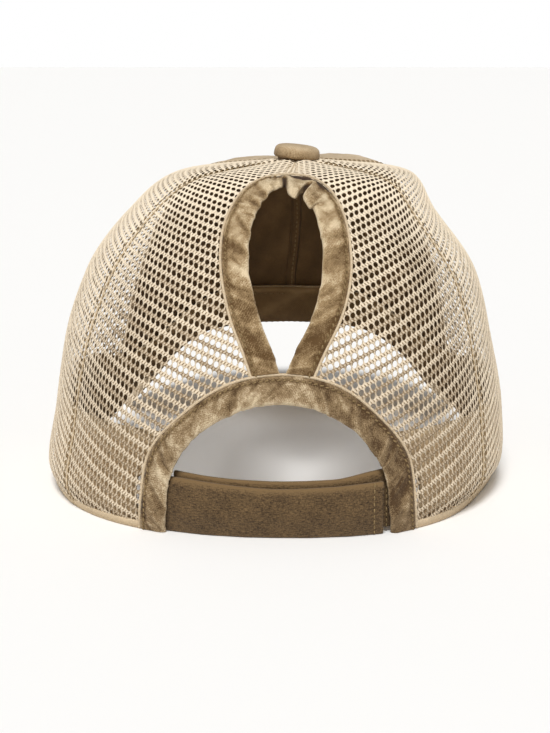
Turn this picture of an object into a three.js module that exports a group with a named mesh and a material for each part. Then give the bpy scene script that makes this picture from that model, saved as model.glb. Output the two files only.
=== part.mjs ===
import * as THREE from "three";

// A six panel baseball cap with a ponytail slot, in millimetres.
// +Y points to the front, where the brim is, +X to the wearer's right and +Z up.
// Angles on the crown run from the middle of the back, positive towards +X.
// A share says how far up the crown a point lies: 0 at the rim, 1 at the button.

// Crown
const CROWN_HEIGHT = 125;
const CROWN_HALF_WIDTH = 90;
const CROWN_BACK_DEPTH = 98;
const CROWN_FRONT_DEPTH = 100;
const PANEL_WALL = 1.2;
const REAR_SEAM_ANGLE = 53;
const FRONT_SEAM_ANGLE = 127;
const CROWN_LEAN = 7.7;
const SEAM_DIP = 1.1;
const SEAM_SHARPNESS = 0.6;
const SEAM_FADE = [0.02, 0.3];
const BACK_SEAM_FADE = [0.88, 0.95];
const DENT_DEPTH = 3;
const SIDE_RIM_LIFT = 2.5;
const SIDE_RIM_LIFT_ANGLE = 112;
const SIDE_RIM_LIFT_SPREAD = 14;
const RIM_SOFTNESS = 4;
const RIM_RISE_DEPTH = 40;
const RIM_FADE_SHARE = 0.12;
const CROWN_TOP_SHARE = 0.984;

// Gap left between neighbouring pieces
const PIECE_GAP = 0.3;

// Brim
const BRIM_HEIGHT = 47.6;
const BRIM_HALF_WIDTH = 78;
const BRIM_JOIN_HALF_WIDTH = 64;
const BRIM_DROP = 43.6;
const BRIM_SHIFT = 3.5;
const BRIM_REACH = 70;
const BRIM_SIDE_REACH = 8;
const BRIM_DROOP = 0.04;
const BRIM_THICKNESS = 3.2;
const BRIM_NOSE = 1.1;
const BRIM_TUCK = 1.2;
const BRIM_GAP = 0.7;

// Arch over the back opening, ponytail slot above it and their folded bindings
const BACK_SEAM_LENGTH = 155;
const ARCH_HALF_WIDTH = 48.5;
const ARCH_RISE = 65.1;
const ARCH_BINDING_WIDTH = 9.4;
const SLOT_HALF_WIDTH = 22.3;
const SLOT_RISE = 73.2;
const SLOT_BINDING_WIDTH = 9.5;
const GATHER_DEPTH = 3.4;
const BINDING_THICKNESS = 2.3;
const BINDING_PROUD = 0.9;
const BINDING_GAP = 0.5;

// Straps
const STRAP_HEIGHT = 20;
const STRAP_THICKNESS = 1.9;
const STRAP_GAP = 0.5;
const INNER_STRAP_RISE = 1.5;

// Sweatband
const SWEATBAND_THICKNESS = 1.3;
const SWEATBAND_SLACK = 1.1;
const SWEATBAND_LIFT_SHARE = 0.012;
const SWEATBAND_SHARE = 0.21;
const SWEATBAND_END_GAP = 1.5;
const OVER_BRIM_FADE = [0.3, 0.6];

// Button
const BUTTON_RADIUS = 8.9;
const BUTTON_HEIGHT = 4.2;
const BUTTON_TILT = 6;

// The crown, a row per level. Left, right, back and front are shares of the sizes above,
// square is the roundness of the level's outline (2 is an ellipse) and lean moves it to +X.
const CROWN_LEVELS = [
  { share: 0, up: 0, left: 0.984, right: 0.94, back: 0.98, front: 1, square: 2.3, lean: 0.325 },
  { share: 0.1, up: 0.081, left: 1.027, right: 0.972, back: 1.005, front: 0.9, square: 2.3, lean: 0.3 },
  { share: 0.25, up: 0.252, left: 0.991, right: 0.957, back: 1.005, front: 0.84, square: 2.25, lean: 0.325 },
  { share: 0.42, up: 0.454, left: 0.964, right: 0.888, back: 0.959, front: 0.76, square: 2.25, lean: 0.52 },
  { share: 0.58, up: 0.655, left: 0.883, right: 0.806, back: 0.857, front: 0.68, square: 2.2, lean: 0.65 },
  { share: 0.74, up: 0.837, left: 0.692, right: 0.637, back: 0.673, front: 0.59, square: 2.15, lean: 0.57 },
  { share: 0.87, up: 0.952, left: 0.486, right: 0.524, back: 0.429, front: 0.44, square: 2.05, lean: 0.65 },
  { share: 1, up: 1, left: 0, right: 0, back: 0, front: 0, square: 2, lean: 1 },
];

// Soft dents (below zero) and swellings of the cloth, a row each: where its middle is,
// how far it spreads in degrees and in share, and its depth as a share of DENT_DEPTH.
const CROWN_DENTS = [
  { angle: 60, share: 0, wide: 22, tall: 0.09, out: -1.7 },
  { angle: 148, share: 0.82, wide: 26, tall: 0.09, out: 1.35 },
  { angle: -150, share: 0.84, wide: 28, tall: 0.08, out: 0.5 },
  { angle: -150, share: 0.55, wide: 12, tall: 0.14, out: -0.47 },
  { angle: 156, share: 0.4, wide: 10, tall: 0.12, out: -0.4 },
  { angle: -104, share: 0.5, wide: 12, tall: 0.2, out: -0.3 },
  { angle: 34, share: 0.62, wide: 9, tall: 0.16, out: 0.27 },
  { angle: -35, share: 0.5, wide: 9, tall: 0.2, out: 0.27 },
];

// Across the brim from its middle: shares of its half width and of its drop.
const BRIM_PROFILE = [
  { side: 0, drop: 0 },
  { side: 0.256, drop: 0.014 },
  { side: 0.449, drop: 0.071 },
  { side: 0.577, drop: 0.184 },
  { side: 0.692, drop: 0.349 },
  { side: 0.795, drop: 0.556 },
  { side: 0.897, drop: 0.77 },
  { side: 1, drop: 1 },
];

// Arch binding from a foot to its top. Side and up place its outer edge, as shares of the
// half width and the rise; inSide and inUp lead to its inner edge, as shares of its width.
const ARCH_ROWS = [
  { side: 1, up: 0, inSide: 0.957, inUp: 0 },
  { side: 0.975, up: 0.286, inSide: 0.904, inUp: -0.33 },
  { side: 0.938, up: 0.488, inSide: 0.862, inUp: -0.543 },
  { side: 0.856, up: 0.624, inSide: 0.755, inUp: -0.691 },
  { side: 0.703, up: 0.759, inSide: 0.67, inUp: -0.638 },
  { side: 0.501, up: 0.891, inSide: 0.511, inUp: -0.872 },
  { side: 0.278, up: 0.971, inSide: 0.372, inUp: -0.989 },
  { side: 0, up: 1, inSide: 0, inUp: -1.04 },
];

// Slot binding from its foot on the arch to its top, in the same columns.
const SLOT_ROWS = [
  { side: 0.466, up: 0, inSide: 0.99, inUp: 0.126 },
  { side: 0.605, up: 0.104, inSide: 0.968, inUp: 0.126 },
  { side: 0.816, up: 0.238, inSide: 1.01, inUp: 0.074 },
  { side: 0.955, up: 0.385, inSide: 1.02, inUp: 0 },
  { side: 1, up: 0.522, inSide: 0.99, inUp: 0 },
  { side: 0.955, up: 0.672, inSide: 0.979, inUp: 0 },
  { side: 0.834, up: 0.788, inSide: 0.947, inUp: -0.084 },
  { side: 0.628, up: 0.893, inSide: 0.779, inUp: -0.295 },
  { side: 0.341, up: 0.973, inSide: 0.442, inUp: -0.579 },
  { side: 0, up: 1, inSide: 0, inUp: -0.674 },
];

// Gathers where elastic draws the top of the slot binding together, a row per pucker. At is
// the share of the loop; pull reaches into the opening and lift stands off the crown.
const SLOT_GATHERS = [
  { at: 0.425, wide: 0.016, pull: 0.35, lift: 0.2 },
  { at: 0.47, wide: 0.014, pull: 0.76, lift: 0.44 },
  { at: 0.515, wide: 0.015, pull: 1, lift: 0.56 },
  { at: 0.562, wide: 0.014, pull: 0.7, lift: 0.44 },
  { at: 0.605, wide: 0.016, pull: 0.3, lift: 0.18 },
];

const NO_GATHERS = [];

// Outline of a folded binding: across runs from the inner to the outer edge, lift is a share
// of how far it stands proud or, below zero, of its depth behind the crown's face.
const BINDING_OUTLINE = [
  { across: 0, lift: -0.23 },
  { across: 0.1, lift: 0.72 },
  { across: 0.4, lift: 1 },
  { across: 0.8, lift: 0.85 },
  { across: 1, lift: 0.2 },
  { across: 1, lift: -0.77 },
  { across: 0.5, lift: -1 },
  { across: 0.08, lift: -0.9 },
];

// Straps, a row per station along the back. Side is a share of the arch's half width, top of
// the strap's height. Behind is a share of the depth that clears the arch binding, and under
// one of the depth that clears the other strap.
const OUTER_STRAP_ROWS = [
  { side: -0.93, top: 1.01, behind: 1.05, under: 0 },
  { side: -0.78, top: 1.01, behind: 0.95, under: 0 },
  { side: -0.41, top: 0.95, behind: 0.65, under: 0 },
  { side: 0, top: 0.89, behind: 0.45, under: 0 },
  { side: 0.41, top: 0.92, behind: 0.35, under: 0 },
  { side: 0.755, top: 0.965, behind: 0.2, under: 0 },
];

const INNER_STRAP_ROWS = [
  { side: -0.78, top: 1.015, behind: 1.05, under: 1 },
  { side: -0.41, top: 0.945, behind: 0.75, under: 1 },
  { side: 0, top: 0.915, behind: 0.55, under: 1 },
  { side: 0.41, top: 0.935, behind: 0.45, under: 1 },
  { side: 0.755, top: 1.065, behind: 0.45, under: 0.9 },
  { side: 0.95, top: 1.1, behind: 1.2, under: 0 },
];

// Levels of a strap's faces, as shares of its height.
const STRAP_LEVELS = [0, 0.35, 0.7, 1];

// Button from its rim to its crown, as shares of its radius and height.
const BUTTON_PROFILE = [
  { out: 0, up: 0.16 },
  { out: 0.62, up: 0.12 },
  { out: 0.93, up: 0 },
  { out: 1, up: 0.2 },
  { out: 0.97, up: 0.52 },
  { out: 0.8, up: 0.84 },
  { out: 0.42, up: 0.98 },
  { out: 0, up: 1 },
];

// Steps of the surfaces. Rows crowd together near the rim, where the walls bend most.
const ROW_CROWDING = 1.3;
const PANEL_COLUMNS = 8;
const FRONT_PANEL_ROWS = 20;
const SIDE_PANEL_ROWS = 18;
const OUTLINE_STEPS = 24;
const SEAM_STEPS = 3;
const BINDING_STATIONS = 68;
const STRAP_STATIONS = 16;
const SWEATBAND_STATIONS = 56;
const SWEATBAND_ROWS = 5;
const BRIM_STATIONS = 36;
const BRIM_ROWS = 7;
const BUTTON_SIDES = 28;

const COLOURS = {
  frontCloth: { color: 0x9e886c, roughness: 0.92, metalness: 0 },
  sideNet: { color: 0xd9c7b4, roughness: 0.8, metalness: 0 },
  rearNet: { color: 0xcdb8a2, roughness: 0.8, metalness: 0 },
  slotCloth: { color: 0xa89071, roughness: 0.9, metalness: 0 },
  archCloth: { color: 0x9e886c, roughness: 0.9, metalness: 0 },
  strapWeb: { color: 0x624e36, roughness: 0.95, metalness: 0 },
  bandCloth: { color: 0x8a7052, roughness: 0.92, metalness: 0 },
  buttonCloth: { color: 0xccba9f, roughness: 0.9, metalness: 0 },
};

// Small steps that slopes are taken over, and bounds that keep the searches steady.
const ANGLE_STEP = 0.01;
const SHARE_STEP = 0.006;
const HIGHEST_SHARE = 0.999;
const LEVEL_SHARE = 0.05;
const SIDE_SEARCH_STEPS = 8;
const LARGEST_SINE = 0.98;
const EDGE_STEP = 0.01;
const EDGE_CLEARANCE = 2;
const EDGE_MIN_RISE = 0.6;

const radians = THREE.MathUtils.degToRad;
const lerp = THREE.MathUtils.lerp;

// A smooth curve through the points (xs, ys) that never swings past them.
function monotoneCurve(xs, ys) {
  const steps = xs.slice(1).map((x, i) => (ys[i + 1] - ys[i]) / (x - xs[i]));
  const slopes = xs.map((_, i) => {
    const before = steps[Math.max(i - 1, 0)];
    const after = steps[Math.min(i, steps.length - 1)];
    return before * after <= 0 ? 0 : (2 * before * after) / (before + after);
  });
  return (x) => {
    let i = 0;
    while (i < xs.length - 2 && x > xs[i + 1]) {
      i += 1;
    }
    const width = xs[i + 1] - xs[i];
    const s = THREE.MathUtils.clamp((x - xs[i]) / width, 0, 1);
    const start = ys[i] * (1 + 2 * s) * (1 - s) ** 2 + ys[i + 1] * s * s * (3 - 2 * s);
    return start + width * (slopes[i] * s * (1 - s) ** 2 + slopes[i + 1] * s * s * (s - 1));
  };
}

function columnCurve(rows, key, value) {
  const sorted = [...rows].sort((a, b) => a[key] - b[key]);
  return monotoneCurve(
    sorted.map((row) => row[key]),
    sorted.map((row) => row[value]),
  );
}

const levelUp = columnCurve(CROWN_LEVELS, "share", "up");
const levelLeft = columnCurve(CROWN_LEVELS, "share", "left");
const levelRight = columnCurve(CROWN_LEVELS, "share", "right");
const levelBack = columnCurve(CROWN_LEVELS, "share", "back");
const levelFront = columnCurve(CROWN_LEVELS, "share", "front");
const levelSquare = columnCurve(CROWN_LEVELS, "share", "square");
const leanShare = columnCurve(CROWN_LEVELS, "share", "lean");
const shareAtUp = columnCurve(CROWN_LEVELS, "up", "share");
const brimDrop = columnCurve(BRIM_PROFILE, "side", "drop");

function levelLean(share) {
  return CROWN_LEAN * leanShare(share);
}

// Distance of the crown from its middle line at an angle and share.
function crownRadius(angle, share) {
  const sine = Math.sin(angle);
  const cosine = Math.cos(angle);
  const across = CROWN_HALF_WIDTH * (sine >= 0 ? levelRight(share) : levelLeft(share));
  const along = cosine >= 0 ? CROWN_BACK_DEPTH * levelBack(share) : CROWN_FRONT_DEPTH * levelFront(share);
  const square = levelSquare(share);
  const sum = (Math.abs(sine) / across) ** square + (Math.abs(cosine) / along) ** square;
  return sum ** (-1 / square);
}

// Height of the brim's upper face, an arch that droops towards the front.
function brimHeight(x, y) {
  const side = Math.abs(x - BRIM_SHIFT) / BRIM_HALF_WIDTH;
  return BRIM_HEIGHT - BRIM_DROP * brimDrop(Math.min(side, 1)) - BRIM_DROOP * (y - CROWN_FRONT_DEPTH);
}

// An angle in degrees, from -180 to 180.
function wrappedDegrees(angle) {
  return THREE.MathUtils.radToDeg(Math.atan2(Math.sin(angle), Math.cos(angle)));
}

// Height of the crown's lower edge: it follows the brim in front and lifts at the sides.
function rimHeight(x, y, angle) {
  const spread = (Math.abs(wrappedDegrees(angle)) - SIDE_RIM_LIFT_ANGLE) / SIDE_RIM_LIFT_SPREAD;
  const side = SIDE_RIM_LIFT * Math.exp(-spread * spread);
  if (y <= 0) {
    return side;
  }
  const arch = brimHeight(x, y) / RIM_SOFTNESS;
  const over = RIM_SOFTNESS * Math.log(Math.exp(arch) + Math.exp(side / RIM_SOFTNESS));
  return lerp(side, over, THREE.MathUtils.smoothstep(y, 0, RIM_RISE_DEPTH));
}

function basePoint(angle, share) {
  const foot = crownRadius(angle, 0);
  const rim = rimHeight(levelLean(0) + foot * Math.sin(angle), -foot * Math.cos(angle), angle);
  const reach = crownRadius(angle, share);
  return new THREE.Vector3(
    levelLean(share) + reach * Math.sin(angle),
    -reach * Math.cos(angle),
    rim + (CROWN_HEIGHT - rim) * levelUp(share),
  );
}

// Level away from the crown at the rim, square to its surface higher up.
function outwardAt(angle, share) {
  const level = new THREE.Vector3(Math.sin(angle), -Math.cos(angle), 0);
  const around = basePoint(angle + ANGLE_STEP, share).sub(basePoint(angle - ANGLE_STEP, share));
  const low = Math.max(share - SHARE_STEP, 0);
  const high = Math.min(share + SHARE_STEP, HIGHEST_SHARE);
  const square = around.cross(basePoint(angle, high).sub(basePoint(angle, low))).normalize();
  return level.lerp(square, THREE.MathUtils.smoothstep(share, 0, LEVEL_SHARE)).normalize();
}

// How far the cloth stands out: valleys along the seams, and the soft dents.
function clothRelief(angle, share) {
  const degrees = wrappedDegrees(angle);
  const seams = [-180, -FRONT_SEAM_ANGLE, -REAR_SEAM_ANGLE, 0, REAR_SEAM_ANGLE, FRONT_SEAM_ANGLE, 180];
  const last = seams.findIndex((seam, i) => i > 0 && degrees <= seam);
  const s = (degrees - seams[last - 1]) / (seams[last] - seams[last - 1]);
  const nearBack = seams[last - 1] === 0 ? s < 0.5 : seams[last] === 0 && s >= 0.5;
  const [from, to] = nearBack ? BACK_SEAM_FADE : SEAM_FADE;
  const strength = SEAM_DIP * THREE.MathUtils.smoothstep(share, from, to);
  let relief = -strength * (1 - Math.abs(Math.sin(Math.PI * s)) ** SEAM_SHARPNESS);
  for (const dent of CROWN_DENTS) {
    const turn = ((degrees - dent.angle + 540) % 360) - 180;
    const rise = (share - dent.share) / dent.tall;
    relief += DENT_DEPTH * dent.out * Math.exp(-((turn / dent.wide) ** 2) - rise * rise);
  }
  return relief;
}

// A point of the crown, moved off its outer face by lift. Near the rim it keeps its height
// above the edge that it stands on.
function crownPoint(angle, share, lift) {
  const point = basePoint(angle, share);
  const rimBefore = rimHeight(point.x, point.y, angle);
  point.addScaledVector(outwardAt(angle, share), lift + clothRelief(angle, share));
  const fade = 1 - THREE.MathUtils.smoothstep(share, 0, RIM_FADE_SHARE);
  point.z += (rimHeight(point.x, point.y, angle) - rimBefore) * fade;
  point.z = Math.max(point.z, 0);
  return point;
}

// The angle at which a point lies sideways of the middle line by the given distance.
function angleAtSide(side, share) {
  let sine = 0;
  for (let step = 0; step < SIDE_SEARCH_STEPS; step += 1) {
    sine = THREE.MathUtils.clamp(side / crownRadius(Math.asin(sine), share), -LARGEST_SINE, LARGEST_SINE);
  }
  return Math.asin(sine);
}

// A point of the back given sideways and up the back seam.
function backPoint(side, up, lift) {
  const share = up / BACK_SEAM_LENGTH;
  return crownPoint(angleAtSide(side, share), share, lift);
}

// A closed geometry from points and faces, turned so that its faces look outwards.
function closedGeometry(points, faces) {
  let volume = 0;
  for (const [a, b, c] of faces) {
    volume += points[a].dot(new THREE.Vector3().crossVectors(points[b], points[c]));
  }
  const index = faces.flatMap(([a, b, c]) => (volume > 0 ? [a, b, c] : [a, c, b]));
  const geometry = new THREE.BufferGeometry();
  geometry.setAttribute("position", new THREE.Float32BufferAttribute(points.flatMap((p) => p.toArray()), 3));
  geometry.setIndex(index);
  geometry.computeVertexNormals();
  return geometry;
}

// A closed sheet between two faces, each a grid of rows and columns.
function sheetGeometry(rows, columns, pointAt) {
  const points = [];
  for (const face of [0, 1]) {
    for (let row = 0; row <= rows; row += 1) {
      for (let column = 0; column <= columns; column += 1) {
        points.push(pointAt(row, column, face));
      }
    }
  }
  const at = (face, row, column) => (face * (rows + 1) + row) * (columns + 1) + column;
  const faces = [];
  const quad = (a, b, c, d) => faces.push([a, b, c], [a, c, d]);
  for (let row = 0; row < rows; row += 1) {
    for (let column = 0; column < columns; column += 1) {
      quad(at(0, row, column), at(0, row, column + 1), at(0, row + 1, column + 1), at(0, row + 1, column));
      quad(at(1, row, column), at(1, row + 1, column), at(1, row + 1, column + 1), at(1, row, column + 1));
    }
    quad(at(0, row, 0), at(0, row + 1, 0), at(1, row + 1, 0), at(1, row, 0));
    quad(at(0, row, columns), at(1, row, columns), at(1, row + 1, columns), at(0, row + 1, columns));
  }
  for (let column = 0; column < columns; column += 1) {
    quad(at(0, 0, column), at(1, 0, column), at(1, 0, column + 1), at(0, 0, column + 1));
    quad(at(0, rows, column), at(0, rows, column + 1), at(1, rows, column + 1), at(1, rows, column));
  }
  return closedGeometry(points, faces);
}

// The faces between each ring of points and the next one.
function facesBetween(rings) {
  const count = rings[0].length;
  const faces = [];
  for (let ring = 0; ring < rings.length - 1; ring += 1) {
    for (let i = 0; i < count; i += 1) {
      const a = ring * count + i;
      const b = ring * count + ((i + 1) % count);
      faces.push([a, b, b + count], [a, b + count, a + count]);
    }
  }
  return faces;
}

// A closed strip from rings of points, with flat ends.
function stripGeometry(rings) {
  const count = rings[0].length;
  const faces = facesBetween(rings);
  const end = (rings.length - 1) * count;
  for (let i = 1; i < count - 1; i += 1) {
    faces.push([0, i + 1, i], [end, end + i, end + i + 1]);
  }
  return closedGeometry(rings.flat(), faces);
}

// The outer and inner edge of a binding over both legs, from the left foot to the right one.
function bindingEdges(rows, start, halfWidth, rise, width) {
  const outer = rows.map((row) => new THREE.Vector2(halfWidth * row.side, start + rise * row.up));
  const inner = rows.map((row, i) => new THREE.Vector2(
    outer[i].x - width * row.inSide,
    outer[i].y + width * row.inUp,
  ));
  return [outer, inner].map((right) => {
    const left = right.slice(0, -1).map((point) => new THREE.Vector2(-point.x, point.y));
    return new THREE.SplineCurve([...left, ...right.reverse()]);
  });
}

const [archOuter, archInner] = bindingEdges(ARCH_ROWS, 0, ARCH_HALF_WIDTH, ARCH_RISE, ARCH_BINDING_WIDTH);
const slotFoot = ARCH_RISE - PIECE_GAP;
const slotSize = [SLOT_HALF_WIDTH, SLOT_RISE, SLOT_BINDING_WIDTH];
const [slotOuter, slotInner] = bindingEdges(SLOT_ROWS, slotFoot, ...slotSize);

// A folded binding between its inner and outer edge, with puckers along the inner one.
function bindingGeometry(outer, inner, gathers) {
  const rings = [];
  for (let station = 0; station <= BINDING_STATIONS; station += 1) {
    const at = station / BINDING_STATIONS;
    const from = inner.getPoint(at);
    const to = outer.getPoint(at);
    let pull = 0;
    let raise = 0;
    for (const gather of gathers) {
      const weight = Math.exp(-(((at - gather.at) / gather.wide) ** 2));
      pull += GATHER_DEPTH * gather.pull * weight;
      raise += GATHER_DEPTH * gather.lift * weight;
    }
    const inward = from.clone().sub(to).normalize();
    from.addScaledVector(inward, pull);
    const ring = BINDING_OUTLINE.map(({ across, lift }) => {
      const spot = from.clone().lerp(to, across);
      const scaled = lift * (lift > 0 ? BINDING_PROUD : BINDING_THICKNESS - BINDING_PROUD);
      return backPoint(spot.x, spot.y, scaled + raise * (1 - across));
    });
    rings.push(ring);
  }
  return stripGeometry(rings);
}

// Half the gap between two pieces, as an angle at the given level.
function gapAngle(angle, share) {
  return PIECE_GAP / 2 / crownRadius(angle, share);
}

// A panel between two seams that run from the rim to the button.
function panelGeometry(fromDegrees, toDegrees, rows) {
  return sheetGeometry(rows, PANEL_COLUMNS, (row, column, face) => {
    const share = CROWN_TOP_SHARE * (row / rows) ** ROW_CROWDING;
    const from = radians(fromDegrees) + gapAngle(radians(fromDegrees), share);
    const to = radians(toDegrees) - gapAngle(radians(toDegrees), share);
    return crownPoint(lerp(from, to, column / PANEL_COLUMNS), share, face ? -PANEL_WALL : 0);
  });
}

// The edge of a rear panel beside the arch, beside the slot and along the back seam.
function rearPanelEdge() {
  const edge = [];
  const push = (curve, at) => {
    const before = curve.getPoint(Math.max(at - EDGE_STEP, 0));
    const along = curve.getPoint(Math.min(at + EDGE_STEP, 1)).sub(before).normalize();
    const away = new THREE.Vector2(-along.y, along.x);
    edge.push(curve.getPoint(at).addScaledVector(away, BINDING_GAP));
  };
  const foot = slotOuter.getPoint(1);
  for (let step = 0; step <= OUTLINE_STEPS; step += 1) {
    const at = 1 - (step / OUTLINE_STEPS) * 0.5;
    if (archOuter.getPoint(at).x > foot.x + EDGE_CLEARANCE) {
      push(archOuter, at);
    }
  }
  for (let step = 1; step <= OUTLINE_STEPS; step += 1) {
    const at = 1 - (step / OUTLINE_STEPS) * 0.5;
    if (slotOuter.getPoint(at).y > edge[edge.length - 1].y + EDGE_MIN_RISE) {
      push(slotOuter, at);
    }
  }
  edge[0].y = 0;
  edge[edge.length - 1].x = PIECE_GAP / 2;
  const top = edge[edge.length - 1].y;
  for (let step = 1; step <= SEAM_STEPS; step += 1) {
    const up = lerp(top, CROWN_TOP_SHARE * BACK_SEAM_LENGTH, step / SEAM_STEPS);
    edge.push(new THREE.Vector2(PIECE_GAP / 2, up));
  }
  return edge;
}

// A rear panel on the +X side (side 1) or the other one (side -1).
function rearPanelGeometry(side) {
  const edge = rearPanelEdge();
  return sheetGeometry(edge.length - 1, PANEL_COLUMNS, (row, column, face) => {
    const share = edge[row].y / BACK_SEAM_LENGTH;
    const inner = angleAtSide(side * edge[row].x, share);
    const seam = side * radians(REAR_SEAM_ANGLE);
    const outer = seam - side * gapAngle(seam, share);
    return crownPoint(lerp(inner, outer, column / PANEL_COLUMNS), share, face ? -PANEL_WALL : 0);
  });
}

// A strap that follows the back, with a level lower edge.
function strapGeometry(rows, bottom) {
  const topAt = columnCurve(rows, "side", "top");
  const behindAt = columnCurve(rows, "side", "behind");
  const underAt = columnCurve(rows, "side", "under");
  const legDepth = BINDING_THICKNESS - BINDING_PROUD + STRAP_GAP;
  const layerDepth = STRAP_THICKNESS + STRAP_GAP;
  const first = rows[0].side;
  const last = rows[rows.length - 1].side;
  const rings = [];
  for (let station = 0; station <= STRAP_STATIONS; station += 1) {
    const side = lerp(first, last, station / STRAP_STATIONS);
    const top = bottom + STRAP_HEIGHT * topAt(side);
    const out = -legDepth * behindAt(side) - layerDepth * underAt(side);
    const pointAt = (rise, lift) => {
      const height = lerp(bottom, top, rise);
      const share = shareAtUp(height / CROWN_HEIGHT);
      const angle = angleAtSide(side * ARCH_HALF_WIDTH, share);
      const point = basePoint(angle, share);
      point.addScaledVector(new THREE.Vector3(Math.sin(angle), -Math.cos(angle), 0), lift);
      point.z = height;
      return point;
    };
    const outerFace = STRAP_LEVELS.map((rise) => pointAt(rise, out));
    const innerFace = STRAP_LEVELS.map((rise) => pointAt(rise, out - STRAP_THICKNESS));
    rings.push([...outerFace, ...innerFace.reverse()]);
  }
  return stripGeometry(rings);
}

// The band inside the rim, from one foot of the arch round the front to the other.
function sweatbandGeometry() {
  const foot = ARCH_HALF_WIDTH + SWEATBAND_END_GAP;
  const start = angleAtSide(foot, 0);
  const end = 2 * Math.PI + angleAtSide(-foot, 0);
  const near = PANEL_WALL + SWEATBAND_SLACK;
  return sheetGeometry(SWEATBAND_ROWS, SWEATBAND_STATIONS, (row, column, face) => {
    const share = lerp(SWEATBAND_LIFT_SHARE, SWEATBAND_SHARE, (row / SWEATBAND_ROWS) ** ROW_CROWDING);
    const lift = face ? -near - SWEATBAND_THICKNESS : -near;
    const angle = lerp(start, end, column / SWEATBAND_STATIONS);
    const point = crownPoint(angle, share, lift);
    const overBrim = THREE.MathUtils.smoothstep(basePoint(angle, 0).z / BRIM_HEIGHT, ...OVER_BRIM_FADE);
    point.z -= overBrim * (BRIM_THICKNESS + BRIM_GAP) * (1 - row / SWEATBAND_ROWS);
    return point;
  });
}

// How far forward the crown's rim lies beside the middle line.
function rimForward(x) {
  const side = x - levelLean(0);
  const across = CROWN_HALF_WIDTH * (side >= 0 ? levelRight(0) : levelLeft(0)) - BRIM_TUCK;
  const share = Math.min(Math.abs(side) / across, 0.999) ** levelSquare(0);
  return (CROWN_FRONT_DEPTH * levelFront(0) - BRIM_TUCK) * (1 - share) ** (1 / levelSquare(0));
}

// A point of the brim: turn runs across it, forward from the crown to its front edge.
function brimPoint(turn, forward, depth) {
  const sweep = Math.sin((Math.PI / 2) * turn);
  const bow = Math.cos((Math.PI / 2) * turn);
  const nearX = BRIM_SHIFT + BRIM_JOIN_HALF_WIDTH * sweep;
  const nearY = rimForward(nearX);
  const farX = BRIM_SHIFT + BRIM_HALF_WIDTH * sweep;
  const farY = CROWN_FRONT_DEPTH + lerp(BRIM_SIDE_REACH, BRIM_REACH, bow);
  const x = lerp(nearX, farX, forward);
  const y = lerp(nearY, farY, forward);
  const slope = brimHeight(x + 0.5, y) - brimHeight(x - 0.5, y);
  const down = new THREE.Vector3(slope, 0, -1).normalize();
  const point = new THREE.Vector3(x, y, brimHeight(x, y) - BRIM_GAP).addScaledVector(down, depth);
  point.z = Math.max(point.z, BRIM_THICKNESS - depth);
  return point;
}

// The brim: an arched plate with a rounded front edge.
function brimGeometry() {
  const rings = [];
  for (let station = 0; station <= BRIM_STATIONS; station += 1) {
    const turn = -1 + (2 * station) / BRIM_STATIONS;
    const ring = [];
    for (let row = 0; row <= BRIM_ROWS; row += 1) {
      ring.push(brimPoint(turn, row / BRIM_ROWS, 0));
    }
    const nose = brimPoint(turn, 1, BRIM_THICKNESS / 2);
    const tail = brimPoint(turn, (BRIM_ROWS - 1) / BRIM_ROWS, BRIM_THICKNESS / 2);
    const ahead = nose.clone().sub(tail).setZ(0).normalize();
    ring.push(nose.addScaledVector(ahead, BRIM_NOSE));
    for (let row = BRIM_ROWS; row >= 0; row -= 1) {
      ring.push(brimPoint(turn, row / BRIM_ROWS, BRIM_THICKNESS));
    }
    rings.push(ring);
  }
  return brimShell(rings);
}

// The rings of the brim joined, with its upper and lower faces paired at the two ends.
function brimShell(rings) {
  const count = rings[0].length;
  const faces = facesBetween(rings);
  const end = (rings.length - 1) * count;
  for (let i = 0; i < BRIM_ROWS; i += 1) {
    const opposite = count - 1 - i;
    faces.push([i, opposite, i + 1], [i + 1, opposite, opposite - 1]);
    faces.push([end + i, end + i + 1, end + opposite], [end + i + 1, end + opposite - 1, end + opposite]);
  }
  faces.push([BRIM_ROWS, BRIM_ROWS + 2, BRIM_ROWS + 1]);
  faces.push([end + BRIM_ROWS, end + BRIM_ROWS + 1, end + BRIM_ROWS + 2]);
  return closedGeometry(rings.flat(), faces);
}

// The covered button on the seams' meeting point.
function buttonGeometry() {
  const rings = BUTTON_PROFILE.slice(1, -1).map(({ out, up }) => {
    const ring = [];
    for (let side = 0; side < BUTTON_SIDES; side += 1) {
      const angle = (2 * Math.PI * side) / BUTTON_SIDES;
      const level = new THREE.Vector3(Math.cos(angle), Math.sin(angle), 0);
      ring.push(level.multiplyScalar(out * BUTTON_RADIUS).setZ(up * BUTTON_HEIGHT));
    }
    return ring;
  });
  const points = rings.flat();
  const faces = facesBetween(rings);
  const under = points.push(new THREE.Vector3(0, 0, BUTTON_PROFILE[0].up * BUTTON_HEIGHT)) - 1;
  const over = points.push(new THREE.Vector3(0, 0, BUTTON_HEIGHT)) - 1;
  const top = (rings.length - 1) * BUTTON_SIDES;
  for (let side = 0; side < BUTTON_SIDES; side += 1) {
    const next = (side + 1) % BUTTON_SIDES;
    faces.push([under, next, side], [over, top + side, top + next]);
  }
  const geometry = closedGeometry(points, faces);
  geometry.rotateY(radians(BUTTON_TILT));
  geometry.translate(levelLean(1), 0, CROWN_HEIGHT + PIECE_GAP);
  return geometry;
}

function addPiece(group, name, geometry, finish) {
  const mesh = new THREE.Mesh(geometry, new THREE.MeshStandardMaterial(finish));
  mesh.name = name;
  group.add(mesh);
}

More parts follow.
